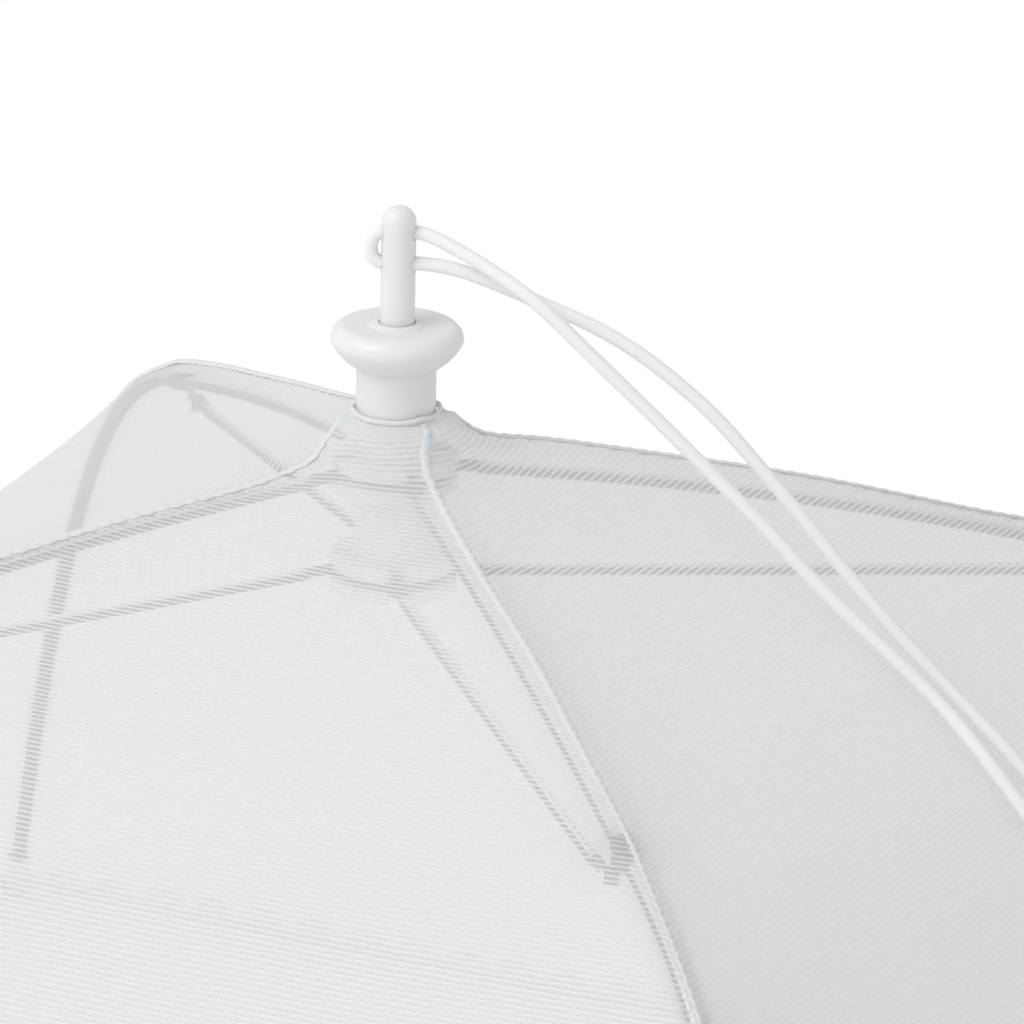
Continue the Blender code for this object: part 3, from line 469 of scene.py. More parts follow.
def steel_of(name, code, low, high):
    """A steel whose roughness wanders between two values, as a dipped zinc coat's does."""
    made, tree, shader = principled(name, code, low, 1.0)
    place = node(tree, "TexCoord").outputs["Object"]
    patches = node(tree, "TexNoise", place, None, 90.0, 4.0)
    shade = node(tree, "MapRange", patches.outputs["Fac"], 0.3, 0.7, low, high)
    tree.links.new(shade.outputs["Result"], shader.inputs["Roughness"])
    return made


# Galvanised spring steel in two copies: a near-white one is a painted highlight on the rolled back of a
# strip, and a dark grey one is painted shade on its sheared edges; the clips and the tie wires take the dark
# one too
steel = steel_of("galvanised spring steel with painted highlight", "F4F5F6", 0.2, 0.32)
shaded_steel = steel_of("galvanised steel in painted shade", "5A5E63", 0.36, 0.52)

# Tie wires
# Two rings of galvanised wire, laid in the grooves of the hub and of the runner and closed there. The
# ribs' and the struts' eyes are threaded on them.
WIRE_RADIUS = 0.45 * MM
around = np.arange(12) * math.pi / 6
runner_ring = math.hypot(PIVOT_RADIUS, STRUT_SIDE)
for name, ring, height, body in (("hub_tie_wire", PIVOT_RADIUS, PIVOT_HEIGHT, "hub"),
                                 ("runner_tie_wire", runner_ring, RUNNER_HEIGHT, "plunger")):
    section = np.stack([ring + WIRE_RADIUS * np.cos(around), height + WIRE_RADIUS * np.sin(around)], axis=1)
    verts, faces = turned(section, 128)
    settle(build(name + "_ring", verts, faces, shaded_steel), body, "steel", name)


# The rib reaches out and falls from the hub's wire to its elbow, and from there to its foot on the table
UPPER_REACH = 152 * MM
UPPER_FALL = 33 * MM
LOWER_REACH = 141 * MM
ELBOW = (164 * MM, 185 * MM)
# At the elbow the upper rib's fall, 0.65 s + 0.35 s^2, has a slope of 0.65 + 2 * 0.35
ELBOW_SLOPE = 1.35 * UPPER_FALL / UPPER_REACH


def upper_rib(share):
    """The rib from pivot to elbow as (radius, height): it falls 33 mm as 0.65 s + 0.35 s^2."""
    return (PIVOT_RADIUS + UPPER_REACH * share,
            PIVOT_HEIGHT - UPPER_FALL * (0.65 * share + 0.35 * share**2))


def lower_rib(share):
    """The rib from elbow to table: its height is 185 mm times 1 - (a s + (1 - a) s^2.75)."""
    straight = ELBOW_SLOPE * LOWER_REACH / ELBOW[1]
    return (ELBOW[0] + LOWER_REACH * share,
            ELBOW[1] * (1 - straight * share - (1 - straight) * share**2.75))


def evenly(line, count, start=0.0, end=0.0):
    """The line at equal steps, without a length at its start and at its end."""
    return points_at(line, np.linspace(start, length_along(line)[-1] - end, count))


def outward(line):
    """The unit normals of a (radius, height) line, on its upper side."""
    along = np.gradient(line, axis=0)
    along /= np.linalg.norm(along, axis=1)[:, None]
    return np.stack([-along[:, 1], along[:, 0]], axis=1)


shares = np.linspace(0, 1, 200)
rib_line = evenly(np.concatenate([np.array(upper_rib(shares)).T[:-1], np.array(lower_rib(shares)).T]), 400)


def swept(line, section, side=0.0):
    """Points and faces of a closed (side, outward) section carried along a (radius, height) line."""
    normal = outward(line)
    section = np.asarray(section, float)
    verts = np.stack([
        line[:, 0][:, None] + normal[:, 0][:, None] * section[:, 1],
        np.broadcast_to(section[:, 0] + side, (len(line), len(section))),
        line[:, 1][:, None] + normal[:, 1][:, None] * section[:, 1]], axis=2).reshape(-1, 3)
    count = len(section)
    faces = ring_faces(len(line), count)
    faces += [tuple(range(count)), tuple(range((len(line) - 1) * count, len(line) * count))]
    return verts, faces


def channel(width, depth, wall):
    """The section of a folded channel with a rounded back: an arch of sheet, open on its inner side."""
    outer, inner = [], []
    half, rise, spring = width / 2, depth * 0.45, depth * 0.05
    for k in range(13):
        angle = math.pi * k / 12
        outer.append((half * math.cos(angle), spring + rise * math.sin(angle)))
        inner.append(((half - wall) * math.cos(angle), spring + (rise - wall) * math.sin(angle)))
    left = [(-half, -depth / 2), (wall - half, -depth / 2)]
    return [(half, -depth / 2)] + outer + left + inner[::-1] + [(half - wall, -depth / 2)]


def highlight_shade_slots(rows, count, total):
    """Material slots of a swept channel: 0 on the rolled back, which takes the painted highlight, 1 on its
    edges and on what follows it, which take the painted shade.
    """
    slots = np.ones(total)
    for row in range(rows - 1):
        slots[row * count + 3:row * count + 11] = 0
    return slots


def plate(pivot, direction, length, radius, shank, thickness, hole, side=0.0):
    """A flat eye: a round head with a hole about a pivot, drawn out into a straight shank."""
    direction = np.array(direction) / np.linalg.norm(direction)
    across = np.array((-direction[1], direction[0]))
    first = math.asin(min(1, shank / radius))
    count = 32
    outer, inner = [], []
    for k in range(count + 1):
        angle = first + 2 * (math.pi - first) * k / count
        ray = math.cos(angle) * direction + math.sin(angle) * across
        outer.append(np.array(pivot) + radius * ray)
        inner.append(np.array(pivot) + hole * ray)
    for end in (-1, 1):
        outer.append(np.array(pivot) + length * direction + end * shank * across)
        ray = math.cos(first * 0.5) * direction + end * math.sin(first * 0.5) * across
        inner.append(np.array(pivot) + hole * ray)
    total = len(outer)
    verts = [(p[0], side + h * thickness / 2, p[1]) for h in (-1, 1) for p in outer + inner]
    faces = []
    for k in range(total):
        one = (k + 1) % total
        faces.append((k, one, total + one, total + k))
        faces.append((2 * total + k, 2 * total + one, 3 * total + one, 3 * total + k))
        faces.append((k, one, 2 * total + one, 2 * total + k))
        faces.append((total + k, total + one, 3 * total + one, 3 * total + k))
    return verts, faces


def together(*parts):
    """Several lists of points and faces as one."""
    verts, faces = [], []
    for some, joined in parts:
        start = len(verts)
        verts += [tuple(v) for v in some]
        faces += [tuple(start + k for k in f) for f in joined]
    return np.array(verts), faces


def about(verts, turn):
    """Points turned about the Z axis."""
    return np.asarray(verts, float) @ np.array(Matrix.Rotation(turn, 3, "Z")).T


# Ribs
# Each is one strip of spring steel rolled into a shallow channel, bent at the elbow, with its inner end
# flattened into an eye on the hub's wire and its lower end in the foot cap.
EYE_HOLE = 1.1 * MM
pivot = np.array((PIVOT_RADIUS, PIVOT_HEIGHT))
body = evenly(rib_line, 160, 8 * MM, 2.3 * MM)
section = channel(3.2 * MM, 2.6 * MM, 0.6 * MM)
rib_verts, rib_faces = together(
    swept(body, section),
    plate(pivot, body[0] - pivot, 11 * MM, 2.1 * MM, 1.1 * MM, 2.0 * MM, EYE_HOLE))
rib_highlight_shade_slots = highlight_shade_slots(len(body), len(section), len(rib_faces))
for corner in CORNERS:
    # The rib's rolled back takes the painted highlight; its edges and its eye take the painted shade
    made = build("spring_rib_" + corner, about(rib_verts, azimuth(corner)), rib_faces, steel, shaded_steel,
                 slots=rib_highlight_shade_slots)
    settle(made, "rib_" + corner, "steel", "rib_" + corner)

# Clips and rivets
# A short sleeve of folded steel is pinched on each rib's elbow. Its ear carries the rivet that the strut's
# outer eye turns on; the rivet has a domed head on either side.
along = np.array((1, -ELBOW_SLOPE)) / math.hypot(1, ELBOW_SLOPE)
clip_pivot = np.array((ELBOW[0] + 5.5 * MM * along[1], ELBOW[1] - 5.5 * MM * along[0]))
clip_line = np.array(ELBOW) + along * np.linspace(-4.5, 4.5, 9)[:, None] * MM
# The sleeve's outside and inside: half width, how far inward and outward, and bend radius, in millimetres
outer, inner = (rounded([(-half, low), (half, low), (half, high), (-half, high)], bend, 5) * MM
                for half, low, high, bend in ((2.2, -2.1, 1.8, 1.1), (1.75, -1.6, 1.42, 0.5)))
rows, count = len(clip_line), len(outer)
sides = ring_faces(rows, count)
sleeve_verts = np.concatenate([swept(clip_line, part)[0] for part in (outer, inner)])
sleeve_faces = sides + [tuple(rows * count + k for k in f) for f in sides]
for row in (0, rows - 1):
    for k in range(count):
        a, b = row * count + k, row * count + (k + 1) % count
        sleeve_faces.append((a, b, rows * count + b, rows * count + a))
SHEET = 0.6 * MM
ear_side = -STRUT_SIDE + 1.6 * MM
ear = plate(clip_pivot, np.array(ELBOW) - clip_pivot, 6.4 * MM, 2.4 * MM, 2.35 * MM, SHEET, EYE_HOLE,
            ear_side)
# One head of the rivet as (radius, height): a low dome over its shank
HEAD = np.array([(0.8, 0), (1.6, 0), (1.4, 0.35), (0.9, 0.62), (0.02, 0.7)]) * MM
near, far = ear_side + SHEET, -STRUT_SIDE - 1.3 * MM
profile = np.concatenate([HEAD[::-1] * (1, -1) + (0, far), HEAD + (0, near)])
rivet_verts, rivet_faces = turned(profile, 32)
rivet_verts = rivet_verts[:, [0, 2, 1]] + np.array((clip_pivot[0], 0, clip_pivot[1]))
for corner in CORNERS:
    verts, faces = together((sleeve_verts, sleeve_faces), ear)
    made = build("folded_clip_" + corner, about(verts, azimuth(corner)), faces, shaded_steel)
    settle(made, "rib_" + corner, "steel", "rib_clip_" + corner)
    made = build("rivet_" + corner, about(rivet_verts, azimuth(corner)), rivet_faces, steel)
    settle(made, "rib_" + corner, "steel", "clip_rivet_" + corner)

# Struts
# Straight channels of thinner strip, each beside its rib. One eye is on the rivet of the clip, the other on
# the runner's wire, so that the runner's stroke spreads the ribs.

# An eye's length, head radius, half shank and thickness. The one on the wire has a wider hole.
STRUT_EYE = (11 * MM, 2.1 * MM, 1.0 * MM, 1.8 * MM)
WIDE_HOLE = 1.35 * MM
runner_pivot = np.array((PIVOT_RADIUS, RUNNER_HEIGHT))
reach = np.linalg.norm(clip_pivot - runner_pivot)
direction = (clip_pivot - runner_pivot) / reach
line = runner_pivot + direction * np.linspace(8 * MM, reach - 8 * MM, 60)[:, None]
section = channel(2.6 * MM, 2.4 * MM, 0.6 * MM)
strut_verts, strut_faces = together(
    swept(line, section, -STRUT_SIDE),
    plate(runner_pivot, direction, *STRUT_EYE, WIDE_HOLE, -STRUT_SIDE),
    plate(clip_pivot, -direction, *STRUT_EYE, EYE_HOLE, -STRUT_SIDE))
strut_highlight_shade_slots = highlight_shade_slots(len(line), len(section), len(strut_faces))
for corner in CORNERS:
    # The strut's rolled back takes the painted highlight; its edges and its eyes take the painted shade
    made = build("channel_strut_" + corner, about(strut_verts, azimuth(corner)), strut_faces, steel,
                 shaded_steel, slots=strut_highlight_shade_slots)
    settle(made, "strut_" + corner, "steel", "strut_" + corner)

# Foot caps
# Small moulded caps pushed on the ribs' ends, flat where they stand on the table. White plastic, a little
# duller than the hub.
cap_plastic, tree, shader = principled("dull white plastic", "E9E9E7", 0.5)
place = node(tree, "TexCoord").outputs["Object"]
grain = node(tree, "TexNoise", place, None, 400.0, 2.0)
bump(tree, shader, grain.outputs["Fac"], 0.15, 0.0002)
end, before = rib_line[-1], rib_line[-6]
tilt = (end - before) / np.linalg.norm(end - before)
# The cap as (radius, height): 2 mm past the rib's end, 12 mm up it, with a wall of 0.64 mm
profile = rounded([(0.02, -2), (3.0, -2), (3.0, 12), (2.36, 12), (2.36, 2), (0.02, 2)], 0.5, 4) * MM
cap_verts, faces = turned(profile, 48)
turn = np.array(Vector((-tilt[0], 0, -tilt[1])).to_track_quat("Z", "Y").to_matrix())
cap_verts = cap_verts @ turn.T + np.array((end[0], 0, end[1]))
floor_cut = block((end[0] - 20 * MM, -20 * MM, -20 * MM), (end[0] + 20 * MM, 20 * MM, 0))
for corner in CORNERS:
    made = build("end_cap_" + corner, about(cap_verts, azimuth(corner)), faces, cap_plastic)
    carve(made, [(*floor_cut, azimuth(corner))])
    settle(made, "rib_" + corner, "cap_plastic", "foot_cap_" + corner)


# Net canopy
# Four panels of white knitted polyester net, overlocked together along the ribs and stretched by them. Each
# panel sags a little between its seams. A panel is two halves here, because it folds along its middle.
NECK = (10.2 * MM, 231.5 * MM)
CROWN_EDGE = 17.0 * MM
LIFT = 24.0 * MM
SAG = 7.5 * MM
HEM = 0.8 * MM
LACE_TOP = 9.4 * MM
# How far each seam stands off its rib, at distances from the hub's axis, in millimetres. The cloth was
# drawn up differently at each corner when it was sewn on.
SEAM_RADII = (12, 15, 19, 24, 36, 60, 100, 140, 164, 185, 230, 280, 305)
SEAM_RISES = {
    "front_right": (12.9, 11.6, 9.6, 7.2, 5.4, 4.6, 4.9, 4.7, 4.0, 2.8, 2.6, 2.8, 3.8),
    "back_right": (12.4, 10.3, 8.4, 7.6, 7.5, 6.5, 5.2, 3.6, 3.6, 2.8, 2.6, 2.8, 3.8),
    "back_left": (13.0, 12.3, 11.5, 10.6, 9.2, 7.4, 5.8, 5.2, 4.8, 2.9, 2.6, 2.8, 3.8),
    "front_left": (12.1, 9.2, 5.4, 3.9, 2.6, 2.5, 2.5, 2.9, 3.6, 2.8, 2.6, 2.8, 3.8),
}
# How far round the neck each seam's top has strayed, in degrees, and how far out this dies away
SEAM_STRAY = {"front_right": 18, "back_right": -6, "back_left": 5, "front_left": -5}
STRAY_REACH = 6.0 * MM


def seam_curve(rises):
    """A seam as (radius, height): the rib's line lifted along its normal by a smooth run of rises."""
    line = evenly(rib_line, 900)
    rise = spline([(radius, height, 0) for radius, height in zip(SEAM_RADII, rises)], 0.2)
    lift = np.interp(line[:, 0] / MM, rise[:, 0], rise[:, 1]) * MM
    return evenly(np.concatenate([[NECK], line + outward(line) * lift[:, None]]), 1200)


LEVELS, STEPS, TOP_LEVELS, LACE_LEVELS = 170, 84, 26, 12
seams, marks = {}, {}
for corner in CORNERS:
    seam = seam_curve(SEAM_RISES[corner])
    run = length_along(seam)
    edge = np.interp(CROWN_EDGE, seam[:, 0], run)
    lace, hem = (np.interp(-height, -seam[:, 1], run) for height in (LACE_TOP, HEM))
    seams[corner], marks[corner] = seam, (0, edge, lace, hem)
mean_marks = np.mean(list(marks.values()), axis=0)


def region(first, last, count):
    """Rows of each seam between two of its marks, the rows of the middle, their shares of the seam's length
    and the length of the panel's middle that is left below them."""
    rows = {c: points_at(seams[c], np.linspace(marks[c][first], marks[c][last], count)) for c in CORNERS}
    middle = np.mean(list(rows.values()), axis=0)
    share = np.linspace(mean_marks[first], mean_marks[last], count) / mean_marks[3]
    run = length_along(cloth(middle, middle, np.ones(1), share)[:, 0])
    return rows, middle, share, run[-1] - run


def cloth(rows, middle, across, share):
    """A panel's surface in its own frame, +X outward. across is 0 on the seam and 1 on the middle, share is
    the part of the seam's length above. P = (r cos 45, r cos 45 (1 - across), z) made round near the neck,
    less the sag 4 s (1 - s) (1 - (1 - across)^2.5) along the panel's inward normal."""
    near = (across * across * (3 - 2 * across))[None]
    radius = rows[:, :1] * (1 - near) + middle[:, :1] * near
    height = rows[:, 1:] * (1 - near) + middle[:, 1:] * near
    across, share = across[None], share[:, None]
    corner = radius * math.cos(QUARTER / 2)
    angle = (1 - across) * QUARTER / 2
    roundness = np.exp(-(radius - NECK[0]) / LIFT)
    x = corner * (1 - roundness) + radius * np.cos(angle) * roundness
    y = corner * (1 - across) * (1 - roundness) + radius * np.sin(angle) * roundness
    sag = SAG * 4 * share * (1 - share) * (1 - (1 - across) ** 2.5)
    return np.stack([x - sag * math.cos(QUARTER / 2), y, height - sag * math.sin(QUARTER / 2)], axis=-1)


def puckers(points, across, run):
    """Small folds where the thread draws the cloth in: ripples along the seam that die out within a few
    millimetres, plus slack waves in the panel."""
    down, over = np.gradient(points, axis=0), np.gradient(points, axis=1)
    normal = np.cross(down, over)
    normal /= np.maximum(np.linalg.norm(normal, axis=2), 1e-12)[:, :, None]
    normal *= np.sign(normal[:, :, 2].mean())
    side = np.linalg.norm(points - points[:, :1], axis=2) / MM
    run = run[:, None] / MM
    ripple = 0.25 * np.exp(-side / 5) * (np.sin(run * 2 * math.pi / 6.8 + 1.3 * np.sin(run / 17)) - 1)
    wave = 0.3 * np.sin(run / 19 + side / 31) * np.sin(side / 23 + 0.7) * across * (1 - across) * 4
    return points + normal * (ripple + wave)[:, :, None] * MM


def stray(verts, across, corner):
    """Turns points round the hub where a seam strays: w exp(-((r - 10.2) / 6)^2) (1 - across)."""
    radius = np.hypot(verts[:, 0], verts[:, 1])
    angle = math.radians(SEAM_STRAY[corner]) * np.exp(-((radius - NECK[0]) / STRAY_REACH) ** 2) * (1 - across)
    x, y, z = verts.T
    return np.stack([x * np.cos(angle) - y * np.sin(angle), x * np.sin(angle) + y * np.cos(angle), z], axis=1)


def grid_faces(rows, steps):
    """Faces between rows of points."""
    a = (np.arange(rows - 1)[:, None] * steps + np.arange(steps - 1)).ravel()
    return np.stack([a, a + 1, a + steps + 1, a + steps], axis=1)


def cloth_maps(points, left, run):
    """Two maps in millimetres: along the rows and up from the hem, and away from the seam and along it."""
    up = left[:, None] + 0 * points[:, :, 1]
    side = np.linalg.norm(points - points[:, :1], axis=2)
    return np.stack([points[:, :, 1], up, side, run[:, None] + 0 * up], axis=-1).reshape(-1, 4) / MM


def give_maps(made, maps):
    """Sets the UV maps called cloth and seam from four values for each point."""
    give_map(made, "cloth", maps[:, :2])
    give_map(made, "seam", maps[:, 2:])


def maths(tree, operation, *inputs):
    """The result of one Math node."""
    return node(tree, "Math", *inputs, operation=operation).outputs[0]


def ranged(tree, value, low, high, start, end):
    """A value taken from one range to another, without going beyond it."""
    return node(tree, "MapRange", value, low, high, start, end).outputs[0]


def pair_of(tree, name):
    """The two coordinates of a UV map."""
    split = node(tree, "SeparateXYZ", node(tree, "UVMap", uv_map=name).outputs["UV"])
    return split.outputs["X"], split.outputs["Y"]


def stripes(tree, coordinate, pitch, low, high):
    """A soft stripe from low to high with a pitch in millimetres: cos(2 pi x / pitch), steepened."""
    wave = maths(tree, "COSINE", maths(tree, "MULTIPLY", coordinate, 2 * math.pi / pitch))
    return ranged(tree, wave, -0.5, 0.5, low, high)


def sheer(name, code, pattern, through):
    """A material of thin white thread: diffuse and translucent where the pattern has thread, else clear."""
    made = bpy.data.materials.new(name)
    made.use_nodes = True
    tree = made.node_tree
    tree.nodes.clear()
    front = node(tree, "BsdfDiffuse", colour(code), 0.0).outputs[0]
    back = node(tree, "BsdfTranslucent", colour(code)).outputs[0]
    thread = node(tree, "MixShader", through, front, back).outputs[0]
    clear = node(tree, "BsdfTransparent", (1, 1, 1, 1)).outputs[0]
    mixed = node(tree, "MixShader", pattern(tree), clear, thread)
    node(tree, "OutputMaterial", mixed.outputs[0])
    return made


# The knit's rows and links and the seam's stitches, from one to the next, in millimetres
ROW_PITCH = 1.35
LINK_PITCH = 0.62
STITCH = 3.4


def net_pattern(tree):
    """Rows of knitted loops parallel to the hem, 1.35 mm apart, with fine links between them. Beside the
    seam, where the cloth is turned in under the stitches, and at the gathered neck it lies double."""
    along, up = pair_of(tree, "cloth")
    side, run = pair_of(tree, "seam")
    drift = node(tree, "TexNoise", node(tree, "UVMap", uv_map="cloth").outputs["UV"], None, 0.035, 2.0)
    rows = stripes(tree, maths(tree, "MULTIPLY_ADD", drift.outputs["Fac"], 1.1, up), ROW_PITCH, 0.2, 0.95)
    links = stripes(tree, along, LINK_PITCH, 0.58, 0.8)
    bite = maths(tree, "COSINE", maths(tree, "MULTIPLY", run, 2 * math.pi / STITCH))
    scallop = maths(tree, "MULTIPLY", bite, 0.35)
    turned_in = ranged(tree, maths(tree, "ADD", side, scallop), 0.8, 2.6, 0.84, 0.38)
    gathered = ranged(tree, up, NECK_UP - 14, NECK_UP - 2, 0.0, 0.9)
    double = maths(tree, "MAXIMUM", turned_in, gathered)
    return maths(tree, "MAXIMUM", maths(tree, "MAXIMUM", rows, links), double)


def halves(corner):
    """The two half panels beside a corner: their name, the sign of y and the panel's azimuth."""
    return (("a", 1, azimuth(corner) - QUARTER / 2), ("b", -1, azimuth(corner) + QUARTER / 2))


def fold_weights(made, values):
    """Bakes a half panel's place into its points and works out its shares between rib and fold, 0 on the seam
    and 1 along the middle, without setting them.
    """
    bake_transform(made)
    give_shares(values)


def half_cloth(corner, way, turn, points, across):
    """Points and faces of a grid of cloth, mirrored for the other side of a seam and turned to its panel."""
    rows, steps = points.shape[:2]
    verts = about((points * np.array((1, way, 1))).reshape(-1, 3), turn)
    return stray(verts, np.tile(across, rows), corner), grid_faces(rows, steps)


across = np.linspace(0, 1, STEPS) ** 1.15
fold = np.tile(across * across * (3 - 2 * across), LEVELS)
net_rows, net_middle, net_share, net_left = region(1, 3, LEVELS)
top_rows, top_middle, top_share, top_left = region(0, 1, TOP_LEVELS)
NECK_UP = float(top_left[0] + net_left[0]) / MM
net_material = sheer("white knitted polyester net", "F6F6F7", net_pattern, 0.42)

# The middle's own size: half a side of the hem by the height of the cloth
nets, areas = {}, {}
for corner in CORNERS:
    points = cloth(net_rows[corner], net_middle, across, net_share)
    run = length_along(net_rows[corner])
    maps = cloth_maps(points, net_left, run)
    points = puckers(points, across, run)
    cell = np.linalg.norm(np.cross(np.gradient(points, axis=0), np.gradient(points, axis=1)), axis=2)
    for name, way, turn in halves(corner):
        verts, faces = half_cloth(corner, way, turn, points, across)
        made = build(f"net_panel_{corner}_{name}", verts, faces, net_material)
        give_maps(made, maps)
        fold_weights(made, fold)
        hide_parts(f"net_{corner}_{name}")
        nets[corner, name], areas[corner, name] = made, float(cell.sum())

# Hem lace
# A narrow machine-made lace, sewn inside the hem all round. Round arches stand up from a denser straight
# edge, one every 14.4 mm.
ARCH_PITCH = 14.4
ARCH_HALF = 5.6
ARCH_HEIGHT = 9.2


def lace_pattern(tree):
    """Arches: thread near the curve (x / 5.6)^2 + (y / 9.2)^2 = 0.85^2, x and y in millimetres from an
    arch's middle and from the hem, over a dense edge."""
    along, up = pair_of(tree, "cloth")
    x = maths(tree, "DIVIDE", maths(tree, "PINGPONG", along, ARCH_PITCH / 2), ARCH_HALF)
    y = maths(tree, "DIVIDE", up, ARCH_HEIGHT)
    squares = maths(tree, "ADD", maths(tree, "MULTIPLY", x, x), maths(tree, "MULTIPLY", y, y))
    ring = maths(tree, "SQRT", squares)
    near = maths(tree, "ABSOLUTE", maths(tree, "SUBTRACT", ring, 0.85))
    arch = ranged(tree, near, 0.1, 0.17, 0.97, 0.0)
    edge = ranged(tree, up, 3.0, 3.8, 0.95, 0.0)
    inside = ranged(tree, ring, 0.86, 0.9, 0.5, 0.0)
    mesh = maths(tree, "MULTIPLY", inside, stripes(tree, maths(tree, "ADD", along, up), 1.6, 0.3, 1.0))
    return maths(tree, "MAXIMUM", maths(tree, "MAXIMUM", arch, edge), mesh)


# The lace thread is painted greyer than the net's: painted shade where the lace lies inside the hem
lace_material = sheer("white polyester lace", "ECEDEF", lace_pattern, 0.2)
lace_rows, lace_middle, lace_share, lace_left = region(2, 3, LACE_LEVELS)
# The lace lies half a millimetre inside the net, moved at twenty degrees to the table
lean = math.radians(20)
inward = 0.5 * MM * np.array((math.cos(lean), 0, math.sin(lean)))
for corner in CORNERS:
    points = cloth(lace_rows[corner], lace_middle, across, lace_share)
    maps = cloth_maps(points, lace_left, length_along(lace_rows[corner]))
    for name, way, turn in halves(corner):
        verts, faces = half_cloth(corner, way, turn, points - inward, across)
        made = build(f"lace_{corner}_{name}", verts, faces, lace_material)
        give_maps(made, maps)
        fold_weights(made, fold[:LACE_LEVELS * STEPS])
        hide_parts(f"hem_lace_{corner}_{name}")

# Seams
# Each seam is an overlocked rope of white thread along the rib, with a soft bulge at every stitch, which
# holds the net to it. Two loops of thread hang beside each rib below its elbow.
tape, tree, shader = principled("white overlock thread", "E3E5E7", 0.95, depth=0.001, share=0.3)
place = node(tree, "TexCoord").outputs["Object"]
fibres = node(tree, "TexNoise", place, None, 1500.0, 3.0)
bump(tree, shader, fibres.outputs["Fac"], 0.12, 0.0002)


def rope(line):
    """The overlocked rope along a (radius, height) line: r = 0.95 (1 + 0.12 cos(2 pi s / 3.4)) mm, swaying
    to its sides by 0.15 mm with each stitch and by 0.2 mm over longer runs."""
    run = length_along(line)
    turn = run * 2 * math.pi / (STITCH * MM)
    radii = 0.95 * MM * (1 + 0.12 * np.cos(turn))
    sway = 0.15 * MM * np.sin(turn + 1) + 0.2 * MM * np.sin(run / (11 * MM))
    return tube(np.stack([line[:, 0], sway, line[:, 1]], axis=1), radii, 10, 0.4)


def thread_loop(at):
    """A loop of thread on the rib's side, an ellipse 2.2 by 4.2 mm."""
    angles = np.linspace(0, 2 * math.pi, 25)[:-1]
    line = np.stack([at[0] - 1.0 * MM + 0.4 * MM * np.sin(angles), -2.9 * MM + 1.1 * MM * np.cos(angles),
                     at[1] - 2.1 * MM * np.sin(angles)], axis=1)
    return tube(np.concatenate([line, line[:2]]), 0.22 * MM, 8)


loops = []
for height in (155 * MM, 149 * MM):
    loops.append(thread_loop([np.interp(-height, -rib_line[:, 1], rib_line[:, k]) for k in (0, 1)]))
for corner in CORNERS:
    seam = seams[corner]
    line = seam[(seam[:, 0] > CROWN_EDGE) & (seam[:, 1] > HEM)]
    verts, faces = rope(line)
    verts = stray(about(verts, azimuth(corner)), 0, corner)
    turned_parts = [(about(v, azimuth(corner)), f) for v, f in loops]
    verts, faces = together((verts, faces), *turned_parts)
    made = build("seam_rope_" + corner, verts, faces, tape, angle=60)
    settle(made, "rib_" + corner, "sewn_tape", "seam_binding_" + corner)

# Crown
# The net's four quarters round the neck, gathered to the barrel, with the tops of the four seams on them.
# They hang between the hub and the ribs; their shares of a bend from one to the other are worked out but not
# set.
TOP_STEPS = 30
top_across = np.linspace(0, 1, TOP_STEPS)
down_share = np.linspace(0, 1, TOP_LEVELS)[:, None]
gather = 0.3 * MM * np.sin(top_across * math.pi * 5) * np.sin(down_share * math.pi) * (1 - top_across)
top_weights = down_share * (1 - top_across * top_across * (3 - 2 * top_across))
for corner in CORNERS:
    points = cloth(top_rows[corner], top_middle, top_across, top_share)
    maps = cloth_maps(points, top_left + net_left[0], length_along(top_rows[corner]))
    points = points + gather[:, :, None] * np.array((0.6, 0, 0.8))
    parts, weights, slots = [], [], []
    for name, way, turn in halves(corner):
        parts.append(half_cloth(corner, way, turn, points, top_across))
        weights.append(top_weights.ravel())
        slots.append(np.zeros(len(parts[-1][1])))
    seam = seams[corner]
    verts, faces = rope(seam[seam[:, 0] <= CROWN_EDGE + 0.4 * MM])
    weights.append(np.clip((np.hypot(verts[:, 0], verts[:, 1]) - NECK[0]) / (CROWN_EDGE - NECK[0]), 0, 1))
    parts.append((stray(about(verts, azimuth(corner)), 0, corner), faces))
    slots.append(np.ones(len(faces)))
    maps = np.concatenate([maps, maps, np.zeros((len(verts), 4))])
    verts, faces = together(*parts)
    made = build("crown_" + corner, verts, faces, net_material, tape, slots=np.concatenate(slots))
    give_maps(made, maps)
    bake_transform(made)
    give_shares(np.concatenate(weights))
    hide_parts("net_crown")

# Neck binding
# The net's top edge is rolled and stitched into a soft band that grips the barrel. It stands up a little
# where the four seams run into it.
angles = np.linspace(0, 2 * math.pi, 240, endpoint=False)
corner_lift = np.zeros(len(angles))
for corner in CORNERS:
    off = angles - azimuth(corner) - math.radians(SEAM_STRAY[corner])
    corner_lift += np.exp(-(np.arctan2(np.sin(off), np.cos(off)) / 0.3) ** 2)
# The roll is an oval of 1.0 by 1.24 mm round a ring of 9.8 mm radius, a little thicker at each stitch
ROLL_SIDES = 16
around = np.arange(ROLL_SIDES) * 2 * math.pi / ROLL_SIDES
stitch = (1 + 0.05 * np.cos(angles * 24))[:, None]
radius = 9.8 + 0.4 * corner_lift[:, None] + 0.5 * np.cos(around) * stitch
height = 0.7 + 0.6 * corner_lift[:, None] + 0.62 * np.sin(around) * stitch
verts = np.stack([radius * MM * np.cos(angles)[:, None], radius * MM * np.sin(angles)[:, None],
                  NECK[1] + height * MM], axis=2).reshape(-1, 3)
made = build("neck_roll", verts, ring_faces(len(angles), ROLL_SIDES, closed=True), tape, angle=60)
settle(made, "hub", "sewn_tape", "neck_binding")

# Ground and light
# A plain white table under a soft studio sky. The key light is large and stands to the left in front, so
# the front panel is brighter than the right one.
floor_material, tree, shader = principled("white table", "FBFBFB", 0.9)
verts = [(-6, -6, -0.0002), (6, -6, -0.0002), (6, 6, -0.0002), (-6, 6, -0.0002)]
ground = build("floor", verts, [(0, 1, 2, 3)], floor_material, smooth=False)


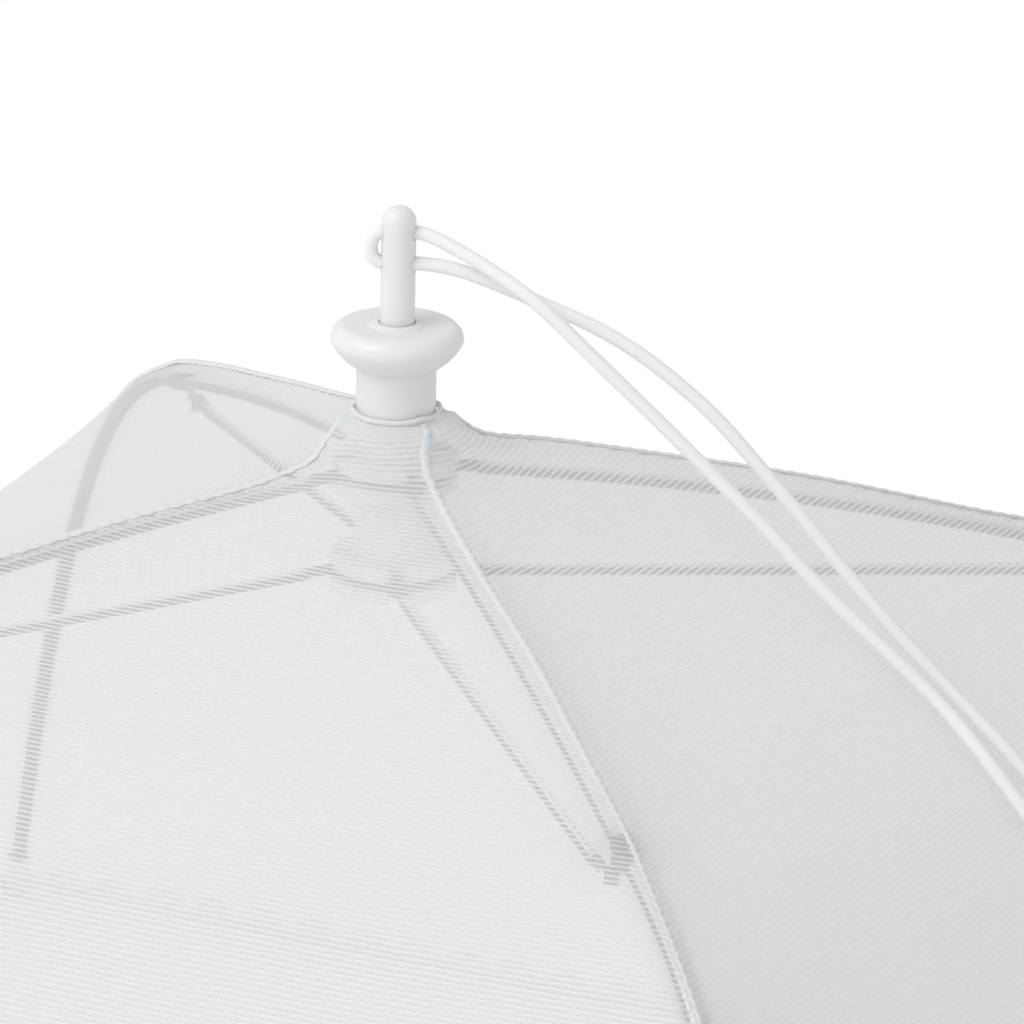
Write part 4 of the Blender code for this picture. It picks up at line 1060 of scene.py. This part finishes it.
def seen_by_camera(tree):
    """1 for the camera's own rays and for those through something clear, else 0."""
    rays = node(tree, "LightPath")
    return maths(tree, "MAXIMUM", rays.outputs["Is Camera Ray"], rays.outputs["Is Transmission Ray"])


# To the camera the table fades into plain white 0.32 to 0.6 m from its middle; nearer, its shadow stays
spot = node(tree, "NewGeometry").outputs["Position"]
reach = node(tree, "VectorMath", spot, operation="LENGTH").outputs["Value"]
fade = ranged(tree, reach, 0.32, 0.6, 0.0, 1.0)
white = node(tree, "Emission", (1, 1, 1, 1), 1.0).outputs[0]
mixed = node(tree, "MixShader", maths(tree, "MULTIPLY", fade, seen_by_camera(tree)), shader.outputs[0], white)
tree.links.new(mixed.outputs[0], tree.nodes["Material Output"].inputs["Surface"])

# The studio's soft light is strongest from the left in front, and bluish on the far side of the object
world = bpy.data.worlds.new("studio")
world.use_nodes = True
bpy.context.scene.world = world
tree = world.node_tree
tree.nodes.clear()
way = node(tree, "TexCoord").outputs["Generated"]
toward = node(tree, "VectorMath", way, (-0.5, -0.75, 0.43), operation="DOT_PRODUCT").outputs["Value"]
lit = node(tree, "Background", (1, 1, 0.99, 1), ranged(tree, toward, -1.0, 1.0, 0.0, 0.86)).outputs[0]
shaded = node(tree, "Background", (0.9, 0.95, 1, 1), ranged(tree, toward, -1.0, 1.0, 0.58, 0.0)).outputs[0]
studio = node(tree, "AddShader", lit, shaded).outputs[0]
white = node(tree, "Background", (1, 1, 1, 1), 1.0).outputs[0]
node(tree, "OutputWorld", node(tree, "MixShader", seen_by_camera(tree), studio, white).outputs[0])


def lamp(name, place, aim, size, watts):
    """A square area light at a place that faces a point."""
    data = bpy.data.lights.new(name, "AREA")
    data.size, data.energy = size, watts
    made = bpy.data.objects.new(name, data)
    bpy.context.scene.collection.objects.link(made)
    made.location = place
    made.rotation_euler = (Vector(aim) - Vector(place)).to_track_quat("-Z", "Y").to_euler()


lamp("key", (-0.9, -1.4, 1.9), (0, 0, 0.15), 1.0, 15)
bpy.context.scene.view_settings.view_transform = "Standard"
